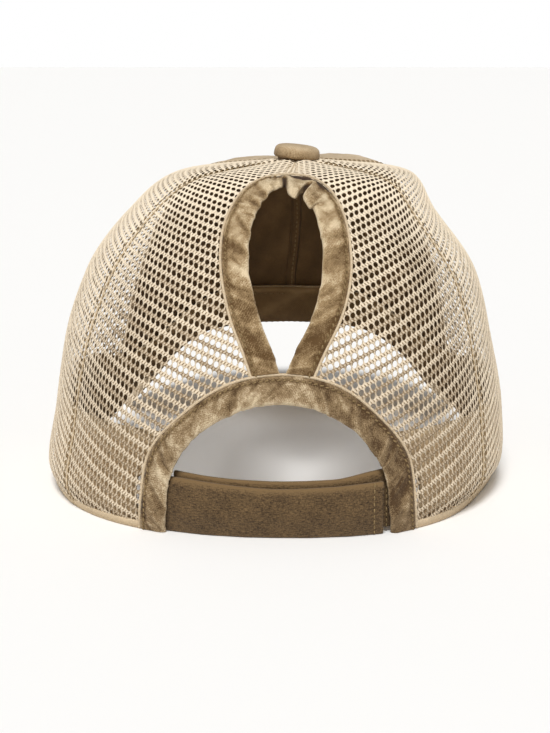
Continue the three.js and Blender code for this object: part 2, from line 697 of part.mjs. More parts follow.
function buildCap() {
  const cap = new THREE.Group();
  cap.name = "ponytail_cap";
  const front = [FRONT_SEAM_ANGLE, 180];
  const side = [REAR_SEAM_ANGLE, FRONT_SEAM_ANGLE];
  addPiece(cap, "front_panel_right", panelGeometry(...front, FRONT_PANEL_ROWS), COLOURS.frontCloth);
  addPiece(cap, "front_panel_left", panelGeometry(-180, -front[0], FRONT_PANEL_ROWS), COLOURS.frontCloth);
  addPiece(cap, "side_panel_right", panelGeometry(...side, SIDE_PANEL_ROWS), COLOURS.sideNet);
  addPiece(cap, "side_panel_left", panelGeometry(-side[1], -side[0], SIDE_PANEL_ROWS), COLOURS.sideNet);
  addPiece(cap, "rear_panel_right", rearPanelGeometry(1), COLOURS.rearNet);
  addPiece(cap, "rear_panel_left", rearPanelGeometry(-1), COLOURS.rearNet);
  addPiece(cap, "slot_binding", bindingGeometry(slotOuter, slotInner, SLOT_GATHERS), COLOURS.slotCloth);
  addPiece(cap, "arch_binding", bindingGeometry(archOuter, archInner, NO_GATHERS), COLOURS.archCloth);
  addPiece(cap, "strap_outer", strapGeometry(OUTER_STRAP_ROWS, 0), COLOURS.strapWeb);
  addPiece(cap, "strap_inner", strapGeometry(INNER_STRAP_ROWS, INNER_STRAP_RISE), COLOURS.strapWeb);
  addPiece(cap, "sweatband", sweatbandGeometry(), COLOURS.bandCloth);
  addPiece(cap, "brim", brimGeometry(), COLOURS.frontCloth);
  addPiece(cap, "button", buttonGeometry(), COLOURS.buttonCloth);
  const box = new THREE.Box3().setFromObject(cap);
  const middle = box.getCenter(new THREE.Vector3());
  for (const piece of cap.children) {
    piece.geometry.translate(-middle.x, -middle.y, -box.min.z);
  }
  return cap;
}

export default buildCap();
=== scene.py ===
"""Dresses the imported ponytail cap: holed net, washed bindings, straps, band, brim and button."""

import logging
import math
from collections.abc import Callable, Sequence
from dataclasses import dataclass, field, replace
from enum import Enum
from typing import NamedTuple

import bpy
import numpy as np
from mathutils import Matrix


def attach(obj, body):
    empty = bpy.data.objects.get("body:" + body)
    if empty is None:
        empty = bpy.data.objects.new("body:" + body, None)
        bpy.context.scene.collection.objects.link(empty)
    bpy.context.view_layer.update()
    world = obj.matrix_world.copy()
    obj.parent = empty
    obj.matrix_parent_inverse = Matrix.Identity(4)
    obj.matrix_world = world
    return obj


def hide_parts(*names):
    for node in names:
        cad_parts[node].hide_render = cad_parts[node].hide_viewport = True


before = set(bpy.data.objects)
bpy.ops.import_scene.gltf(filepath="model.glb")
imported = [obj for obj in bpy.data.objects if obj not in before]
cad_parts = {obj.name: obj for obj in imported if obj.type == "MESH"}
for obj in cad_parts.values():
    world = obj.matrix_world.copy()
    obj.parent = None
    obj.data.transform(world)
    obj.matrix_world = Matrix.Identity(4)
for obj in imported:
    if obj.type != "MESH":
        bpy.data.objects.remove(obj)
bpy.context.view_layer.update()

log = logging.getLogger("cap")

Array = np.ndarray
Triple = tuple[float, float, float]

# Everything is worked out in millimetres about the crown's middle, which lies here in the frame.
MM = 0.001
CROWN_CENTRE = np.array([0.2442, -36.7277, 0.0])

# Rough reaches that lay the cloth's pattern out flat: for a radian round, and from rim to button.
FRONT_REACH = 80.0
RIM_REACH = 85.0
BRIM_HALF_ROUND = 95.0
SIDE_HEIGHT = 120.0
BAND_HEIGHT = 27.0

# A seam's offset turns by its distance over the radius, which is held off zero near the button.
SMALLEST_RADIUS = 8.0


def colour(red: int, green: int, blue: int) -> Triple:
    """Linear colour of a display colour.

    Args:
        red: Red of the display colour, 0 to 255.
        green: Green, 0 to 255.
        blue: Blue, 0 to 255.

    Returns:
        The three linear values.
    """
    shares = [value / 255 for value in (red, green, blue)]
    return tuple(s / 12.92 if s <= 0.04045 else ((s + 0.055) / 1.055) ** 2.4 for s in shares)


def smoothstep(low: float, high: float, value: Array) -> Array:
    """Smooth ramp from 0 at low to 1 at high.

    Args:
        low: Where the ramp starts.
        high: Where it ends.
        value: Values to look up.

    Returns:
        The ramp's values, from 0 to 1.
    """
    share = np.clip((np.asarray(value, float) - low) / (high - low), 0, 1)
    return share * share * (3 - 2 * share)


class MonotoneCurve:
    """Smooth curve through points that never swings past them."""

    def __init__(self, xs: Sequence[float], ys: Sequence[float]) -> None:
        """Works out the slope at each point.

        Args:
            xs: Places, rising.
            ys: Values at those places.
        """
        order = np.argsort(xs)
        self.xs = np.array(xs, float)[order]
        self.ys = np.array(ys, float)[order]
        steps = np.diff(self.ys) / np.diff(self.xs)
        before = np.concatenate([steps[:1], steps])
        after = np.concatenate([steps, steps[-1:]])
        total = before + after
        safe = np.where(total == 0, 1, total)
        self.slopes = np.where(before * after <= 0, 0, 2 * before * after / safe)

    def __call__(self, x: Array | float) -> Array:
        """Value of the curve, held level beyond its ends.

        Args:
            x: Places to look up.

        Returns:
            The values there.
        """
        x = np.asarray(x, float)
        i = np.clip(np.searchsorted(self.xs, x, side="left") - 1, 0, len(self.xs) - 2)
        width = self.xs[i + 1] - self.xs[i]
        s = np.clip((x - self.xs[i]) / width, 0, 1)
        low, high = self.ys[i], self.ys[i + 1]
        between = low * (1 + 2 * s) * (1 - s) ** 2 + high * s * s * (3 - 2 * s)
        bend = self.slopes[i] * s * (1 - s) ** 2 + self.slopes[i + 1] * s * s * (s - 1)
        return between + width * bend


class Level(NamedTuple):
    """A level of the crown, with its reaches as shares of the crown's sizes."""

    share: float
    up: float
    left: float
    right: float
    back: float
    front: float
    square: float
    lean: float


class Dent(NamedTuple):
    """A soft dent or swelling of the crown."""

    angle: float
    share: float
    wide: float
    tall: float
    out: float


@dataclass(frozen=True)
class Crown:
    """The crown's form, in millimetres about the middle of the crown.

    Angles run from the middle of the back, positive towards +X. A share is 0 at the rim and 1
    at the button.
    """

    height: float = 125.0
    half_width: float = 90.0
    back_depth: float = 98.0
    front_depth: float = 100.0
    wall: float = 1.2
    rear_seam: float = 53.0
    front_seam: float = 127.0
    lean: float = 7.7
    seam_dip: float = 1.1
    seam_sharpness: float = 0.6
    dent_depth: float = 3.0
    side_lift: float = 2.5
    side_lift_angle: float = 112.0
    side_lift_spread: float = 14.0
    rim_softness: float = 4.0
    rim_rise_depth: float = 40.0
    rim_fade: float = 0.12
    top_share: float = 0.984
    back_seam: float = 155.0
    brim_height: float = 47.6
    brim_half_width: float = 78.0
    brim_drop: float = 43.6
    brim_shift: float = 3.5
    brim_droop: float = 0.04
    levels: tuple[Level, ...] = (
        Level(0, 0, 0.984, 0.94, 0.98, 1, 2.3, 0.325),
        Level(0.1, 0.081, 1.027, 0.972, 1.005, 0.9, 2.3, 0.3),
        Level(0.25, 0.252, 0.991, 0.957, 1.005, 0.84, 2.25, 0.325),
        Level(0.42, 0.454, 0.964, 0.888, 0.959, 0.76, 2.25, 0.52),
        Level(0.58, 0.655, 0.883, 0.806, 0.857, 0.68, 2.2, 0.65),
        Level(0.74, 0.837, 0.692, 0.637, 0.673, 0.59, 2.15, 0.57),
        Level(0.87, 0.952, 0.486, 0.524, 0.429, 0.44, 2.05, 0.65),
        Level(1, 1, 0, 0, 0, 0, 2, 1),
    )
    dents: tuple[Dent, ...] = (
        Dent(60, 0, 22, 0.09, -1.7),
        Dent(148, 0.82, 26, 0.09, 1.35),
        Dent(-150, 0.84, 28, 0.08, 0.5),
        Dent(-150, 0.55, 12, 0.14, -0.47),
        Dent(156, 0.4, 10, 0.12, -0.4),
        Dent(-104, 0.5, 12, 0.2, -0.3),
        Dent(34, 0.62, 9, 0.16, 0.27),
        Dent(-35, 0.5, 9, 0.2, 0.27),
    )
    brim_profile: tuple[tuple[float, float], ...] = (
        (0, 0), (0.256, 0.014), (0.449, 0.071), (0.577, 0.184),
        (0.692, 0.349), (0.795, 0.556), (0.897, 0.77), (1, 1),
    )
    curves: dict[str, MonotoneCurve] = field(default_factory=dict)

    def __post_init__(self) -> None:
        """Makes the curves through the tables."""
        shares = [level.share for level in self.levels]
        for name in Level._fields[1:]:
            self.curves[name] = MonotoneCurve(shares, [getattr(level, name) for level in self.levels])
        self.curves["share_at_up"] = MonotoneCurve([level.up for level in self.levels], shares)
        self.curves["drop"] = MonotoneCurve(*zip(*self.brim_profile))

    def radius(self, angle: Array, share: Array) -> Array:
        """Distance from the crown's middle line.

        Args:
            angle: Angles in radians.
            share: Shares of the way up.

        Returns:
            The distances in millimetres.
        """
        sine, cosine = np.sin(angle), np.cos(angle)
        side = np.where(sine >= 0, self.curves["right"](share), self.curves["left"](share))
        depth = np.where(
            cosine >= 0,
            self.back_depth * self.curves["back"](share),
            self.front_depth * self.curves["front"](share),
        )
        square = self.curves["square"](share)
        total = np.abs(sine / (self.half_width * side)) ** square + np.abs(cosine / depth) ** square
        return total ** (-1 / square)

    def brim_z(self, x: Array, y: Array) -> Array:
        """Height of the brim's upper face.

        Args:
            x: Places to the side.
            y: Places towards the front.

        Returns:
            The heights.
        """
        side = np.minimum(np.abs(x - self.brim_shift) / self.brim_half_width, 1)
        drop = self.brim_drop * self.curves["drop"](side)
        return self.brim_height - drop - self.brim_droop * (y - self.front_depth)

    def rim_z(self, x: Array, y: Array, angle: Array) -> Array:
        """Height of the crown's lower edge.

        Args:
            x: Places to the side.
            y: Places towards the front.
            angle: Angles in radians.

        Returns:
            The heights.
        """
        degrees = np.abs(wrapped(angle))
        turn = (degrees - self.side_lift_angle) / self.side_lift_spread
        side = self.side_lift * np.exp(-(turn**2))
        arch = np.exp(self.brim_z(x, y) / self.rim_softness)
        over = self.rim_softness * np.log(arch + np.exp(side / self.rim_softness))
        return side + (over - side) * smoothstep(0, self.rim_rise_depth, y)

    def base(self, angle: Array, share: Array) -> Array:
        """Points of the crown without its relief.

        Args:
            angle: Angles in radians.
            share: Shares of the way up.

        Returns:
            The points, with a last axis of three.
        """
        angle, share = np.broadcast_arrays(np.asarray(angle, float), np.asarray(share, float))
        foot = self.radius(angle, np.zeros_like(share))
        start = self.lean * self.curves["lean"](0.0)
        rim = self.rim_z(start + foot * np.sin(angle), -foot * np.cos(angle), angle)
        reach = self.radius(angle, share)
        return np.stack(
            [
                self.lean * self.curves["lean"](share) + reach * np.sin(angle),
                -reach * np.cos(angle),
                rim + (self.height - rim) * self.curves["up"](share),
            ],
            axis=-1,
        )

    def outward(self, angle: Array, share: Array) -> Array:
        """Directions away from the crown, level at the rim.

        Args:
            angle: Angles in radians.
            share: Shares of the way up.

        Returns:
            Unit vectors.
        """
        angle, share = np.broadcast_arrays(np.asarray(angle, float), np.asarray(share, float))
        level = np.stack([np.sin(angle), -np.cos(angle), np.zeros_like(angle)], axis=-1)
        around = self.base(angle + 0.01, share) - self.base(angle - 0.01, share)
        low, high = np.maximum(share - 0.006, 0), np.minimum(share + 0.006, 0.999)
        square = unit(np.cross(around, self.base(angle, high) - self.base(angle, low)))
        blend = smoothstep(0, 0.05, share)[..., None]
        return unit(level + (square - level) * blend)

    def relief(self, angle: Array, share: Array) -> Array:
        """How far the cloth stands out from the base form.

        Args:
            angle: Angles in radians.
            share: Shares of the way up.

        Returns:
            Distances in millimetres, below zero in seams and dents.
        """
        degrees = wrapped(angle)
        front, rear = self.front_seam, self.rear_seam
        seams = np.array([-180, -front, -rear, 0, rear, front, 180])
        last = np.clip(np.searchsorted(seams, degrees, side="left"), 1, len(seams) - 1)
        s = (degrees - seams[last - 1]) / (seams[last] - seams[last - 1])
        near_back = ((last == 4) & (s < 0.5)) | ((last == 3) & (s >= 0.5))
        fade = np.where(near_back, smoothstep(0.88, 0.95, share), smoothstep(0.02, 0.3, share))
        total = -self.seam_dip * fade * (1 - np.abs(np.sin(np.pi * s)) ** self.seam_sharpness)
        for dent in self.dents:
            turn = (degrees - dent.angle + 540) % 360 - 180
            rise = (share - dent.share) / dent.tall
            total = total + self.dent_depth * dent.out * np.exp(-((turn / dent.wide) ** 2) - rise**2)
        return total

    def point(self, angle: Array, share: Array, lift: Array | float) -> Array:
        """Points of the crown, moved off its outer face.

        Args:
            angle: Angles in radians.
            share: Shares of the way up.
            lift: Distances off the face, below zero inside.

        Returns:
            The points.
        """
        angle, share, lift = np.broadcast_arrays(*(np.asarray(v, float) for v in (angle, share, lift)))
        spot = self.base(angle, share)
        before = self.rim_z(spot[..., 0], spot[..., 1], angle)
        spot = spot + self.outward(angle, share) * (lift + self.relief(angle, share))[..., None]
        fade = 1 - smoothstep(0, self.rim_fade, share)
        spot[..., 2] += (self.rim_z(spot[..., 0], spot[..., 1], angle) - before) * fade
        spot[..., 2] = np.maximum(spot[..., 2], 0)
        return spot

    def angle_at_side(self, side: Array, share: Array) -> Array:
        """Angles at which points lie sideways of the middle line.

        Args:
            side: Distances sideways.
            share: Shares of the way up.

        Returns:
            The angles in radians.
        """
        sine = np.zeros(np.broadcast(side, share).shape)
        for _ in range(8):
            sine = np.clip(side / self.radius(np.arcsin(sine), share), -0.98, 0.98)
        return np.arcsin(sine)

    def back_point(self, side: Array, up: Array, lift: Array | float) -> Array:
        """Points of the back, given sideways and up the back seam.

        Args:
            side: Distances sideways.
            up: Distances up the back seam.
            lift: Distances off the face.

        Returns:
            The points.
        """
        share = np.asarray(up, float) / self.back_seam
        return self.point(self.angle_at_side(side, share), share, lift)


def wrapped(angle: Array) -> Array:
    """Angles in degrees from -180 to 180.

    Args:
        angle: Angles in radians.

    Returns:
        The same angles in degrees.
    """
    return np.degrees(np.arctan2(np.sin(angle), np.cos(angle)))


def unit(vectors: Array) -> Array:
    """Vectors at length one.

    Args:
        vectors: Vectors along the last axis.

    Returns:
        The unit vectors.
    """
    return vectors / np.maximum(np.linalg.norm(vectors, axis=-1, keepdims=True), 1e-9)


def spline(points: Array, at: Array) -> Array:
    """Points on a smooth curve through given points, as even shares of their number.

    Args:
        points: Points that the curve passes.
        at: Shares of the way, 0 to 1.

    Returns:
        The points on the curve.
    """
    place = np.asarray(at, float) * (len(points) - 1)
    i = np.clip(np.floor(place).astype(int), 0, len(points) - 2)
    t = (place - i)[..., None]
    p0, p1 = points[np.maximum(i - 1, 0)], points[i]
    p2, p3 = points[i + 1], points[np.minimum(i + 2, len(points) - 1)]
    v0, v1 = (p2 - p0) * 0.5, (p3 - p1) * 0.5
    return (2 * p1 - 2 * p2 + v0 + v1) * t**3 + (-3 * p1 + 3 * p2 - 2 * v0 - v1) * t**2 + v0 * t + p1


class Maths:
    """A shader socket with operators that add Math nodes."""

    def __init__(self, graph: "Graph", socket: bpy.types.NodeSocket) -> None:
        """Wraps a socket.

        Args:
            graph: The node graph that the socket belongs to.
            socket: An output socket.
        """
        self.graph = graph
        self.socket = socket

    def _join(self, operation: str, *values: "Maths | float", clamp: bool = False) -> "Maths":
        """A Math node on the given values.

        Args:
            operation: The node's operation.
            *values: Its inputs in order.
            clamp: Whether the result stays between 0 and 1.

        Returns:
            The node's result.
        """
        settings = {"operation": operation, "use_clamp": clamp}
        return self.graph.node("ShaderNodeMath", settings, dict(enumerate(values)))

    def __add__(self, other: "Maths | float") -> "Maths":
        """The sum."""
        return self._join("ADD", self, other)

    __radd__ = __add__

    def __sub__(self, other: "Maths | float") -> "Maths":
        """The difference."""
        return self._join("SUBTRACT", self, other)

    def __rsub__(self, other: "Maths | float") -> "Maths":
        """The difference the other way round."""
        return self._join("SUBTRACT", other, self)

    def __mul__(self, other: "Maths | float") -> "Maths":
        """The product."""
        return self._join("MULTIPLY", self, other)

    __rmul__ = __mul__

    def clamped(self) -> "Maths":
        """The value held between 0 and 1."""
        return self._join("ADD", self, 0.0, clamp=True)

    def sine(self) -> "Maths":
        """The sine."""
        return self._join("SINE", self)


class Graph:
    """The node graph of one material."""

    def __init__(self, name: str) -> None:
        """Makes the material with an empty graph.

        Args:
            name: The material's name.
        """
        self.material = bpy.data.materials.new(name)
        self.material.use_nodes = True
        self.tree = self.material.node_tree
        self.tree.nodes.clear()

    def node(
        self,
        kind: str,
        settings: dict[str, object] | None = None,
        inputs: dict[str | int, object] | None = None,
        output: str | int = 0,
    ) -> Maths:
        """Adds a node.

        Args:
            kind: The node's type.
            settings: Its settings, set first; "stops" gives a ramp's places and colours.
            inputs: Values or links of its sockets, by name or number.
            output: The output that is handed back.

        Returns:
            The chosen output.
        """
        node = self.tree.nodes.new(kind)
        for key, value in (settings or {}).items():
            if key == "stops":
                ramp = node.color_ramp.elements
                while len(ramp) < len(value):
                    ramp.new(0.5)
                for element, (place, shade) in zip(ramp, value):
                    element.position = place
                    element.color = (*shade, 1)
            else:
                setattr(node, key, value)
        for key, value in (inputs or {}).items():
            if isinstance(value, Maths):
                self.tree.links.new(value.socket, node.inputs[key])
            else:
                node.inputs[key].default_value = value
        return Maths(self, node.outputs[output] if len(node.outputs) else None)

    def mix(self, factor: "Maths | float", low: object, high: object) -> Maths:
        """Mixes two colours.

        Args:
            factor: The share of the second colour.
            low: The first colour or its link.
            high: The second colour or its link.

        Returns:
            The mixed colour.
        """
        ends = [value if isinstance(value, Maths) else (*value, 1) for value in (low, high)]
        settings = {"data_type": "RGBA"}
        return self.node("ShaderNodeMix", settings, {0: factor, 6: ends[0], 7: ends[1]}, output=2)

    def noise(self, scale: float, detail: float = 3.0, place: "Maths | None" = None) -> Maths:
        """Noise over the object.

        Args:
            scale: Cells for each metre.
            detail: Octaves.
            place: Where to read it, instead of the object's own place.

        Returns:
            The noise's value.
        """
        place = place or self.node("ShaderNodeTexCoord", output="Object")
        inputs = {"Vector": place, "Scale": scale, "Detail": detail}
        return self.node("ShaderNodeTexNoise", {}, inputs, output=0)

    def worn_and_shaded(self) -> Maths:
        """The mesh's own shading value: rubbed paleness together with painted light and shade, -1 in
        its hollows and 1 on its ridges.
        """
        return self.node("ShaderNodeAttribute", {"attribute_name": "wear"}, output="Fac")

    def flat(self) -> tuple[Maths, Maths]:
        """Find the flat pattern's place in metres.

        Returns:
            The place along the cloth and the place across it.
        """
        place = self.node("ShaderNodeUVMap", {"uv_map": "pattern"})
        split = self.tree.nodes.new("ShaderNodeSeparateXYZ")
        self.tree.links.new(place.socket, split.inputs[0])
        return Maths(self, split.outputs[0]), Maths(self, split.outputs[1])

    def finish(
        self,
        base: Maths,
        height: Maths,
        depth: float,
        roughness: Maths | float,
        sheen: float = 0.0,
    ) -> bpy.types.Material:
        """Ends the graph in a cloth shader.

        Args:
            base: The colour.
            height: The bump's height, about 0 to 1.
            depth: What a height of 1 stands for, in metres.
            roughness: The roughness.
            sheen: The strength of the cloth's soft sheen.

        Returns:
            The material.
        """
        bump = self.node(
            "ShaderNodeBump", {}, {"Height": height, "Distance": depth, "Strength": 1.0}
        )
        inputs = {
            "Base Color": base,
            "Roughness": roughness,
            "Normal": bump,
            "Sheen Weight": sheen,
            "Sheen Roughness": 0.6,
            "Specular IOR Level": 0.25,
        }
        shader = self.node("ShaderNodeBsdfPrincipled", {}, inputs)
        self.node("ShaderNodeOutputMaterial", {}, {"Surface": shader})
        return self.material


@dataclass(frozen=True)
class TwillFinish:
    """Washed cotton twill, paler on its ridges from rubbing and painted light, with painted shade in
    its deepest hollows.
    """

    name: str
    dark: Triple
    mid: Triple
    pale: Triple
    wash: float = 0.5
    fleck: float = 0.75
    # deep is the colour of the painted shade in the deepest folds and gaps.
    deep: Triple = colour(48, 26, 8)
    rib: float = 0.0009
    grain: float = 0.00012

    def material(self) -> bpy.types.Material:
        """Build the finish.

        Returns:
            The finish as a material.
        """
        graph = Graph(self.name)
        along, across = graph.flat()
        rib = ((along + across) * (2 * math.pi / self.rib)).sine()
        cross = ((along - across) * (2 * math.pi / (self.rib * 0.8))).sine()
        fleck = graph.noise(2600, 2)
        cloud = graph.noise(85, 4)
        streak = graph.noise(320, 3)
        wear = graph.worn_and_shaded()
        tone = (cloud - 0.5) * (1.5 * self.wash) + (streak - 0.5) * (1.1 * self.wash)
        tone = tone + (fleck - 0.5) * self.fleck + wear * 0.45 + rib * 0.06 + 0.5
        stops = ((0.0, self.dark), (0.5, self.mid), (1.0, self.pale))
        base = graph.node("ShaderNodeValToRGB", {"stops": stops}, {0: tone.clamped()})
        # Below a value of about -1.3 the colour runs towards deep: painted shade in the deepest folds
        # and gaps.
        base = graph.mix((wear * -0.9 - 1.15).clamped() * 0.85, base, self.deep)
        height = rib * 0.3 + cross * 0.12 + fleck * 0.9 + streak * 0.8
        return graph.finish(base, height, self.grain, 0.82 + fleck * 0.14, sheen=0.05)


@dataclass(frozen=True)
class NetFinish:
    """Stiff knitted net, its yarns running along the rows."""

    name: str
    dark: Triple
    pale: Triple
    loop: float = 0.00077
    step: float = 0.00225
    row: float = 0.00325
    speck: float = 1.0
    stripe: float = 0.2
    grain: float = 0.00012

    def material(self) -> bpy.types.Material:
        """Build the finish.

        Returns:
            The finish as a material.
        """
        graph = Graph(self.name)
        along, across = graph.flat()
        loops = (along * (2 * math.pi / self.loop)).sine()
        yarns = (across * (2 * math.pi / (self.loop * 0.7))).sine()
        fleck = graph.noise(1700, 2)
        cloud = graph.noise(70, 3)
        band = ((across * (2 * math.pi / self.row) - math.pi / 2).sine() - 0.35).clamped()
        gaps = (along * (4 * math.pi / self.step) + across * (2 * math.pi / self.row)).sine().clamped()
        worn_and_shaded = graph.worn_and_shaded()
        # Dark specks stand for tiny holes in the knit; their darkness is painted shade seen through
        # them, and they thin out where the net is painted lighter.
        specks = band * gaps * (fleck * 2.2 - 0.3).clamped()
        specks = specks * (1.1 - worn_and_shaded).clamped() * (2.4 * self.speck)
        tone = loops * yarns * 0.12 + (fleck - 0.5) * 0.85 + (cloud - 0.5) * 0.4 + worn_and_shaded * 0.32 + 0.62
        stripe = (across * (math.pi / self.row)).sine() * (0.45 - worn_and_shaded).clamped() * -self.stripe
        tone = tone - specks + stripe
        base = graph.mix(tone.clamped(), self.dark, self.pale)
        height = loops * yarns * 0.4 + fleck * 0.6
        return graph.finish(base, height, self.grain, 0.6 + fleck * 0.25)


@dataclass(frozen=True)
class PileFinish:
    """Brushed loop pile of a strap, with a woven edge."""

    name: str
    dark: Triple
    pale: Triple
    grain: float = 0.00035

    def material(self) -> bpy.types.Material:
        """Build the finish.

        Returns:
            The finish as a material.
        """
        graph = Graph(self.name)
        along, across = graph.flat()
        combed = graph.node("ShaderNodeCombineXYZ", {}, {0: along * 700, 1: across * 2300})
        pile = graph.noise(1.0, 3, combed)
        nap = graph.noise(2000, 2)
        tone = (pile - 0.5) * 1.5 + (nap - 0.5) * 1.3 + graph.worn_and_shaded() * 0.55 + 0.5
        base = graph.mix(tone.clamped(), self.dark, self.pale)
        return graph.finish(base, pile + nap * 0.6, self.grain, 0.95, sheen=0.08)


@dataclass(frozen=True)
class ThreadFinish:
    """Twisted sewing thread."""

    name: str
    dark: Triple
    pale: Triple

    def material(self) -> bpy.types.Material:
        """Build the finish.

        Returns:
            The finish as a material.
        """
        graph = Graph(self.name)
        fleck = graph.noise(1900, 2)
        base = graph.mix((fleck * 1.6 - 0.3).clamped(), self.dark, self.pale)
        return graph.finish(base, fleck, 0.00006, 0.7)


@dataclass(frozen=True)
class TableFinish:
    """A plain pale surface."""

    name: str = "pale_table"
    tint: Triple = colour(250, 249, 247)

    def material(self) -> bpy.types.Material:
        """Build the finish.

        Returns:
            The finish as a material.
        """
        graph = Graph(self.name)
        grain = graph.noise(18, 2)
        base = graph.mix(grain * 0.06, self.tint, tuple(0.96 * value for value in self.tint))
        return graph.finish(base, grain, 0.0001, 0.85)


class Finishes:
    """Every finish of the cap, made once."""

    def __init__(self) -> None:
        """Makes the materials."""
        self.front = TwillFinish(
            "front_twill", colour(160, 137, 106), colour(202, 180, 149), colour(228, 210, 182), 0.32
        ).material()
        # The inside of the front is the same twill painted darker: painted shade inside the crown.
        self.inside = TwillFinish(
            "front_inside_shaded", colour(72, 52, 28), colour(104, 78, 46), colour(130, 102, 66), 0.25
        ).material()
        self.slot = TwillFinish(
            "slot_twill", colour(86, 62, 32), colour(152, 127, 91), colour(214, 194, 160), 0.85, 1.2
        ).material()
        self.arch = TwillFinish(
            "arch_twill", colour(74, 53, 29), colour(138, 115, 83), colour(206, 187, 155), 0.85, 1.2
        ).material()
        # The band's inner face and its outer face are one cloth in two colours: the inner face painted
        # darker as shade, the outer face, seen through the net, painted lighter as light.
        self.band = TwillFinish(
            "band_inner_shaded_twill", colour(76, 55, 28), colour(110, 84, 50), colour(142, 114, 76), 0.3
        ).material()
        self.band_outer_lit = TwillFinish(
            "band_back_twill", colour(164, 140, 104), colour(202, 178, 142), colour(224, 204, 170), 0.3
        ).material()
        self.button = TwillFinish(
            "button_twill", colour(100, 76, 44), colour(168, 144, 110), colour(204, 184, 154), 0.4
        ).material()
        self.net = NetFinish("cream_net", colour(132, 110, 82), colour(252, 235, 208)).material()
        self.welt = NetFinish(
            "cream_edge", colour(158, 133, 100), colour(222, 202, 170), speck=0.0, stripe=0.0
        ).material()
        self.strap = PileFinish("strap_pile", colour(38, 23, 7), colour(116, 92, 60)).material()
        self.thread = ThreadFinish("khaki_thread", colour(84, 64, 34), colour(158, 134, 94)).material()
        self.pale_thread = ThreadFinish(
            "cream_thread", colour(180, 158, 126), colour(236, 220, 196)
        ).material()


class Piece:
    """Collects a mesh and hands it over as a dressed piece of the cap."""

    def __init__(self, name: str) -> None:
        """Starts an empty piece.

        Args:
            name: The piece's name.
        """
        self.name = name
        self.points: list[Array] = []
        self.faces: list[Array] = []
        self.looks: list[Array] = []
        self.places: list[Array] = []
        self.wear: list[Array] = []
        self.count = 0

    def add(
        self,
        points: Array,
        faces: Array,
        places: Array | None = None,
        wear: Array | None = None,
        look: Array | int = 0,
    ) -> None:
        """Adds points and the faces between them.

        Args:
            points: Points in millimetres, any shape with a last axis of three.
            faces: Rows of three or four point numbers, counted from 0.
            places: The flat pattern's places in millimetres, a pair for each point.
            wear: How rubbed each point is together with its painted light and shade, -1 to 1.
            look: The material's number, for all or for each face.
        """
        points = np.asarray(points, float).reshape(-1, 3)
        places = points[:, [0, 2]] if places is None else np.asarray(places, float).reshape(-1, 2)
        worn_and_shaded = np.zeros(len(points)) if wear is None else np.asarray(wear, float).reshape(-1)
        self.points.append(points)
        self.faces.append(np.asarray(faces) + self.count)
        self.looks.append(np.broadcast_to(look, len(faces)))
        self.places.append(places)
        self.wear.append(worn_and_shaded)
        self.count += len(points)

    def finish(
        self,
        slot: str,
        materials: Sequence[bpy.types.Material],
        replaces: Sequence[str] = (),
    ) -> None:
        """Makes the object, riding on the cap.

        Args:
            slot: The record's material slot; not used.
            materials: Its materials in order.
            replaces: The frame's nodes that it stands for.
        """
        points = (np.concatenate(self.points) + CROWN_CENTRE) * MM
        faces = [face for block in self.faces for face in block.tolist()]
        mesh = bpy.data.meshes.new(self.name)
        mesh.from_pydata(points.tolist(), [], faces)
        mesh.polygons.foreach_set("material_index", np.concatenate(self.looks).astype(np.int32))
        mesh.polygons.foreach_set("use_smooth", np.ones(len(faces), bool))
        corner = np.empty(len(mesh.loops), np.int32)
        mesh.loops.foreach_get("vertex_index", corner)
        pattern = mesh.uv_layers.new(name="pattern")
        places = np.concatenate(self.places) * MM
        pattern.data.foreach_set("uv", places[corner].astype(np.float32).reshape(-1))
        wear = mesh.attributes.new("wear", "FLOAT", "POINT")
        wear.data.foreach_set("value", np.concatenate(self.wear).astype(np.float32))
        for material in materials:
            mesh.materials.append(material)
        mesh.update()
        piece = bpy.data.objects.new(self.name, mesh)
        bpy.context.scene.collection.objects.link(piece)
        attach(piece, "root")
        if replaces:
            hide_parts(*replaces)
        log.info("%s: %d points, %d faces", self.name, len(points), len(faces))


def grid_faces(rows: int, columns: int, flip: bool = False) -> Array:
    """Faces of a grid of points.

    Args:
        rows: Rows of points.
        columns: Points in each row.
        flip: Whether the faces look the other way.

    Returns:
        Rows of four point numbers.
    """
    at = np.arange(rows * columns).reshape(rows, columns)
    corners = [at[:-1, :-1], at[:-1, 1:], at[1:, 1:], at[1:, :-1]]
    if flip:
        corners.reverse()
    return np.stack(corners, axis=-1).reshape(-1, 4)


def shell_faces(rows: int, columns: int) -> tuple[Array, Array]:
    """Faces of two grids, outer then inner, joined round their border.

    Args:
        rows: Rows of points in each grid.
        columns: Points in each row.

    Returns:
        The faces, and 1 for each face of the inner grid and 0 for the others.
    """
    count = rows * columns
    at = np.arange(count).reshape(rows, columns)
    border = np.concatenate([at[0, :-1], at[:-1, -1], at[-1, :0:-1], at[:0:-1, 0]])
    following = np.roll(border, -1)
    rim = np.stack([border, border + count, following + count, following], axis=-1)
    outer = grid_faces(rows, columns)
    inner = grid_faces(rows, columns, flip=True) + count
    look = np.concatenate([np.zeros(len(outer)), np.ones(len(inner)), np.zeros(len(rim))])
    return np.concatenate([outer, inner, rim]), look


def strip_faces(stations: int, count: int) -> tuple[Array, Array]:
    """Faces between rings of points, and the fans that close the ends.

    Args:
        stations: Number of rings.
        count: Points in each ring.

    Returns:
        The four-sided faces and the three-sided ones.
    """
    at = np.arange(stations * count).reshape(stations, count)
    after = np.roll(at, -1, axis=1)
    sides = np.stack([at[:-1], after[:-1], after[1:], at[1:]], axis=-1).reshape(-1, 4)
    turn = np.arange(1, count - 1)
    start = np.stack([np.zeros_like(turn), turn + 1, turn], axis=-1)
    end = np.stack([np.zeros_like(turn), turn, turn + 1], axis=-1) + (stations - 1) * count
    return sides, np.concatenate([start, end])


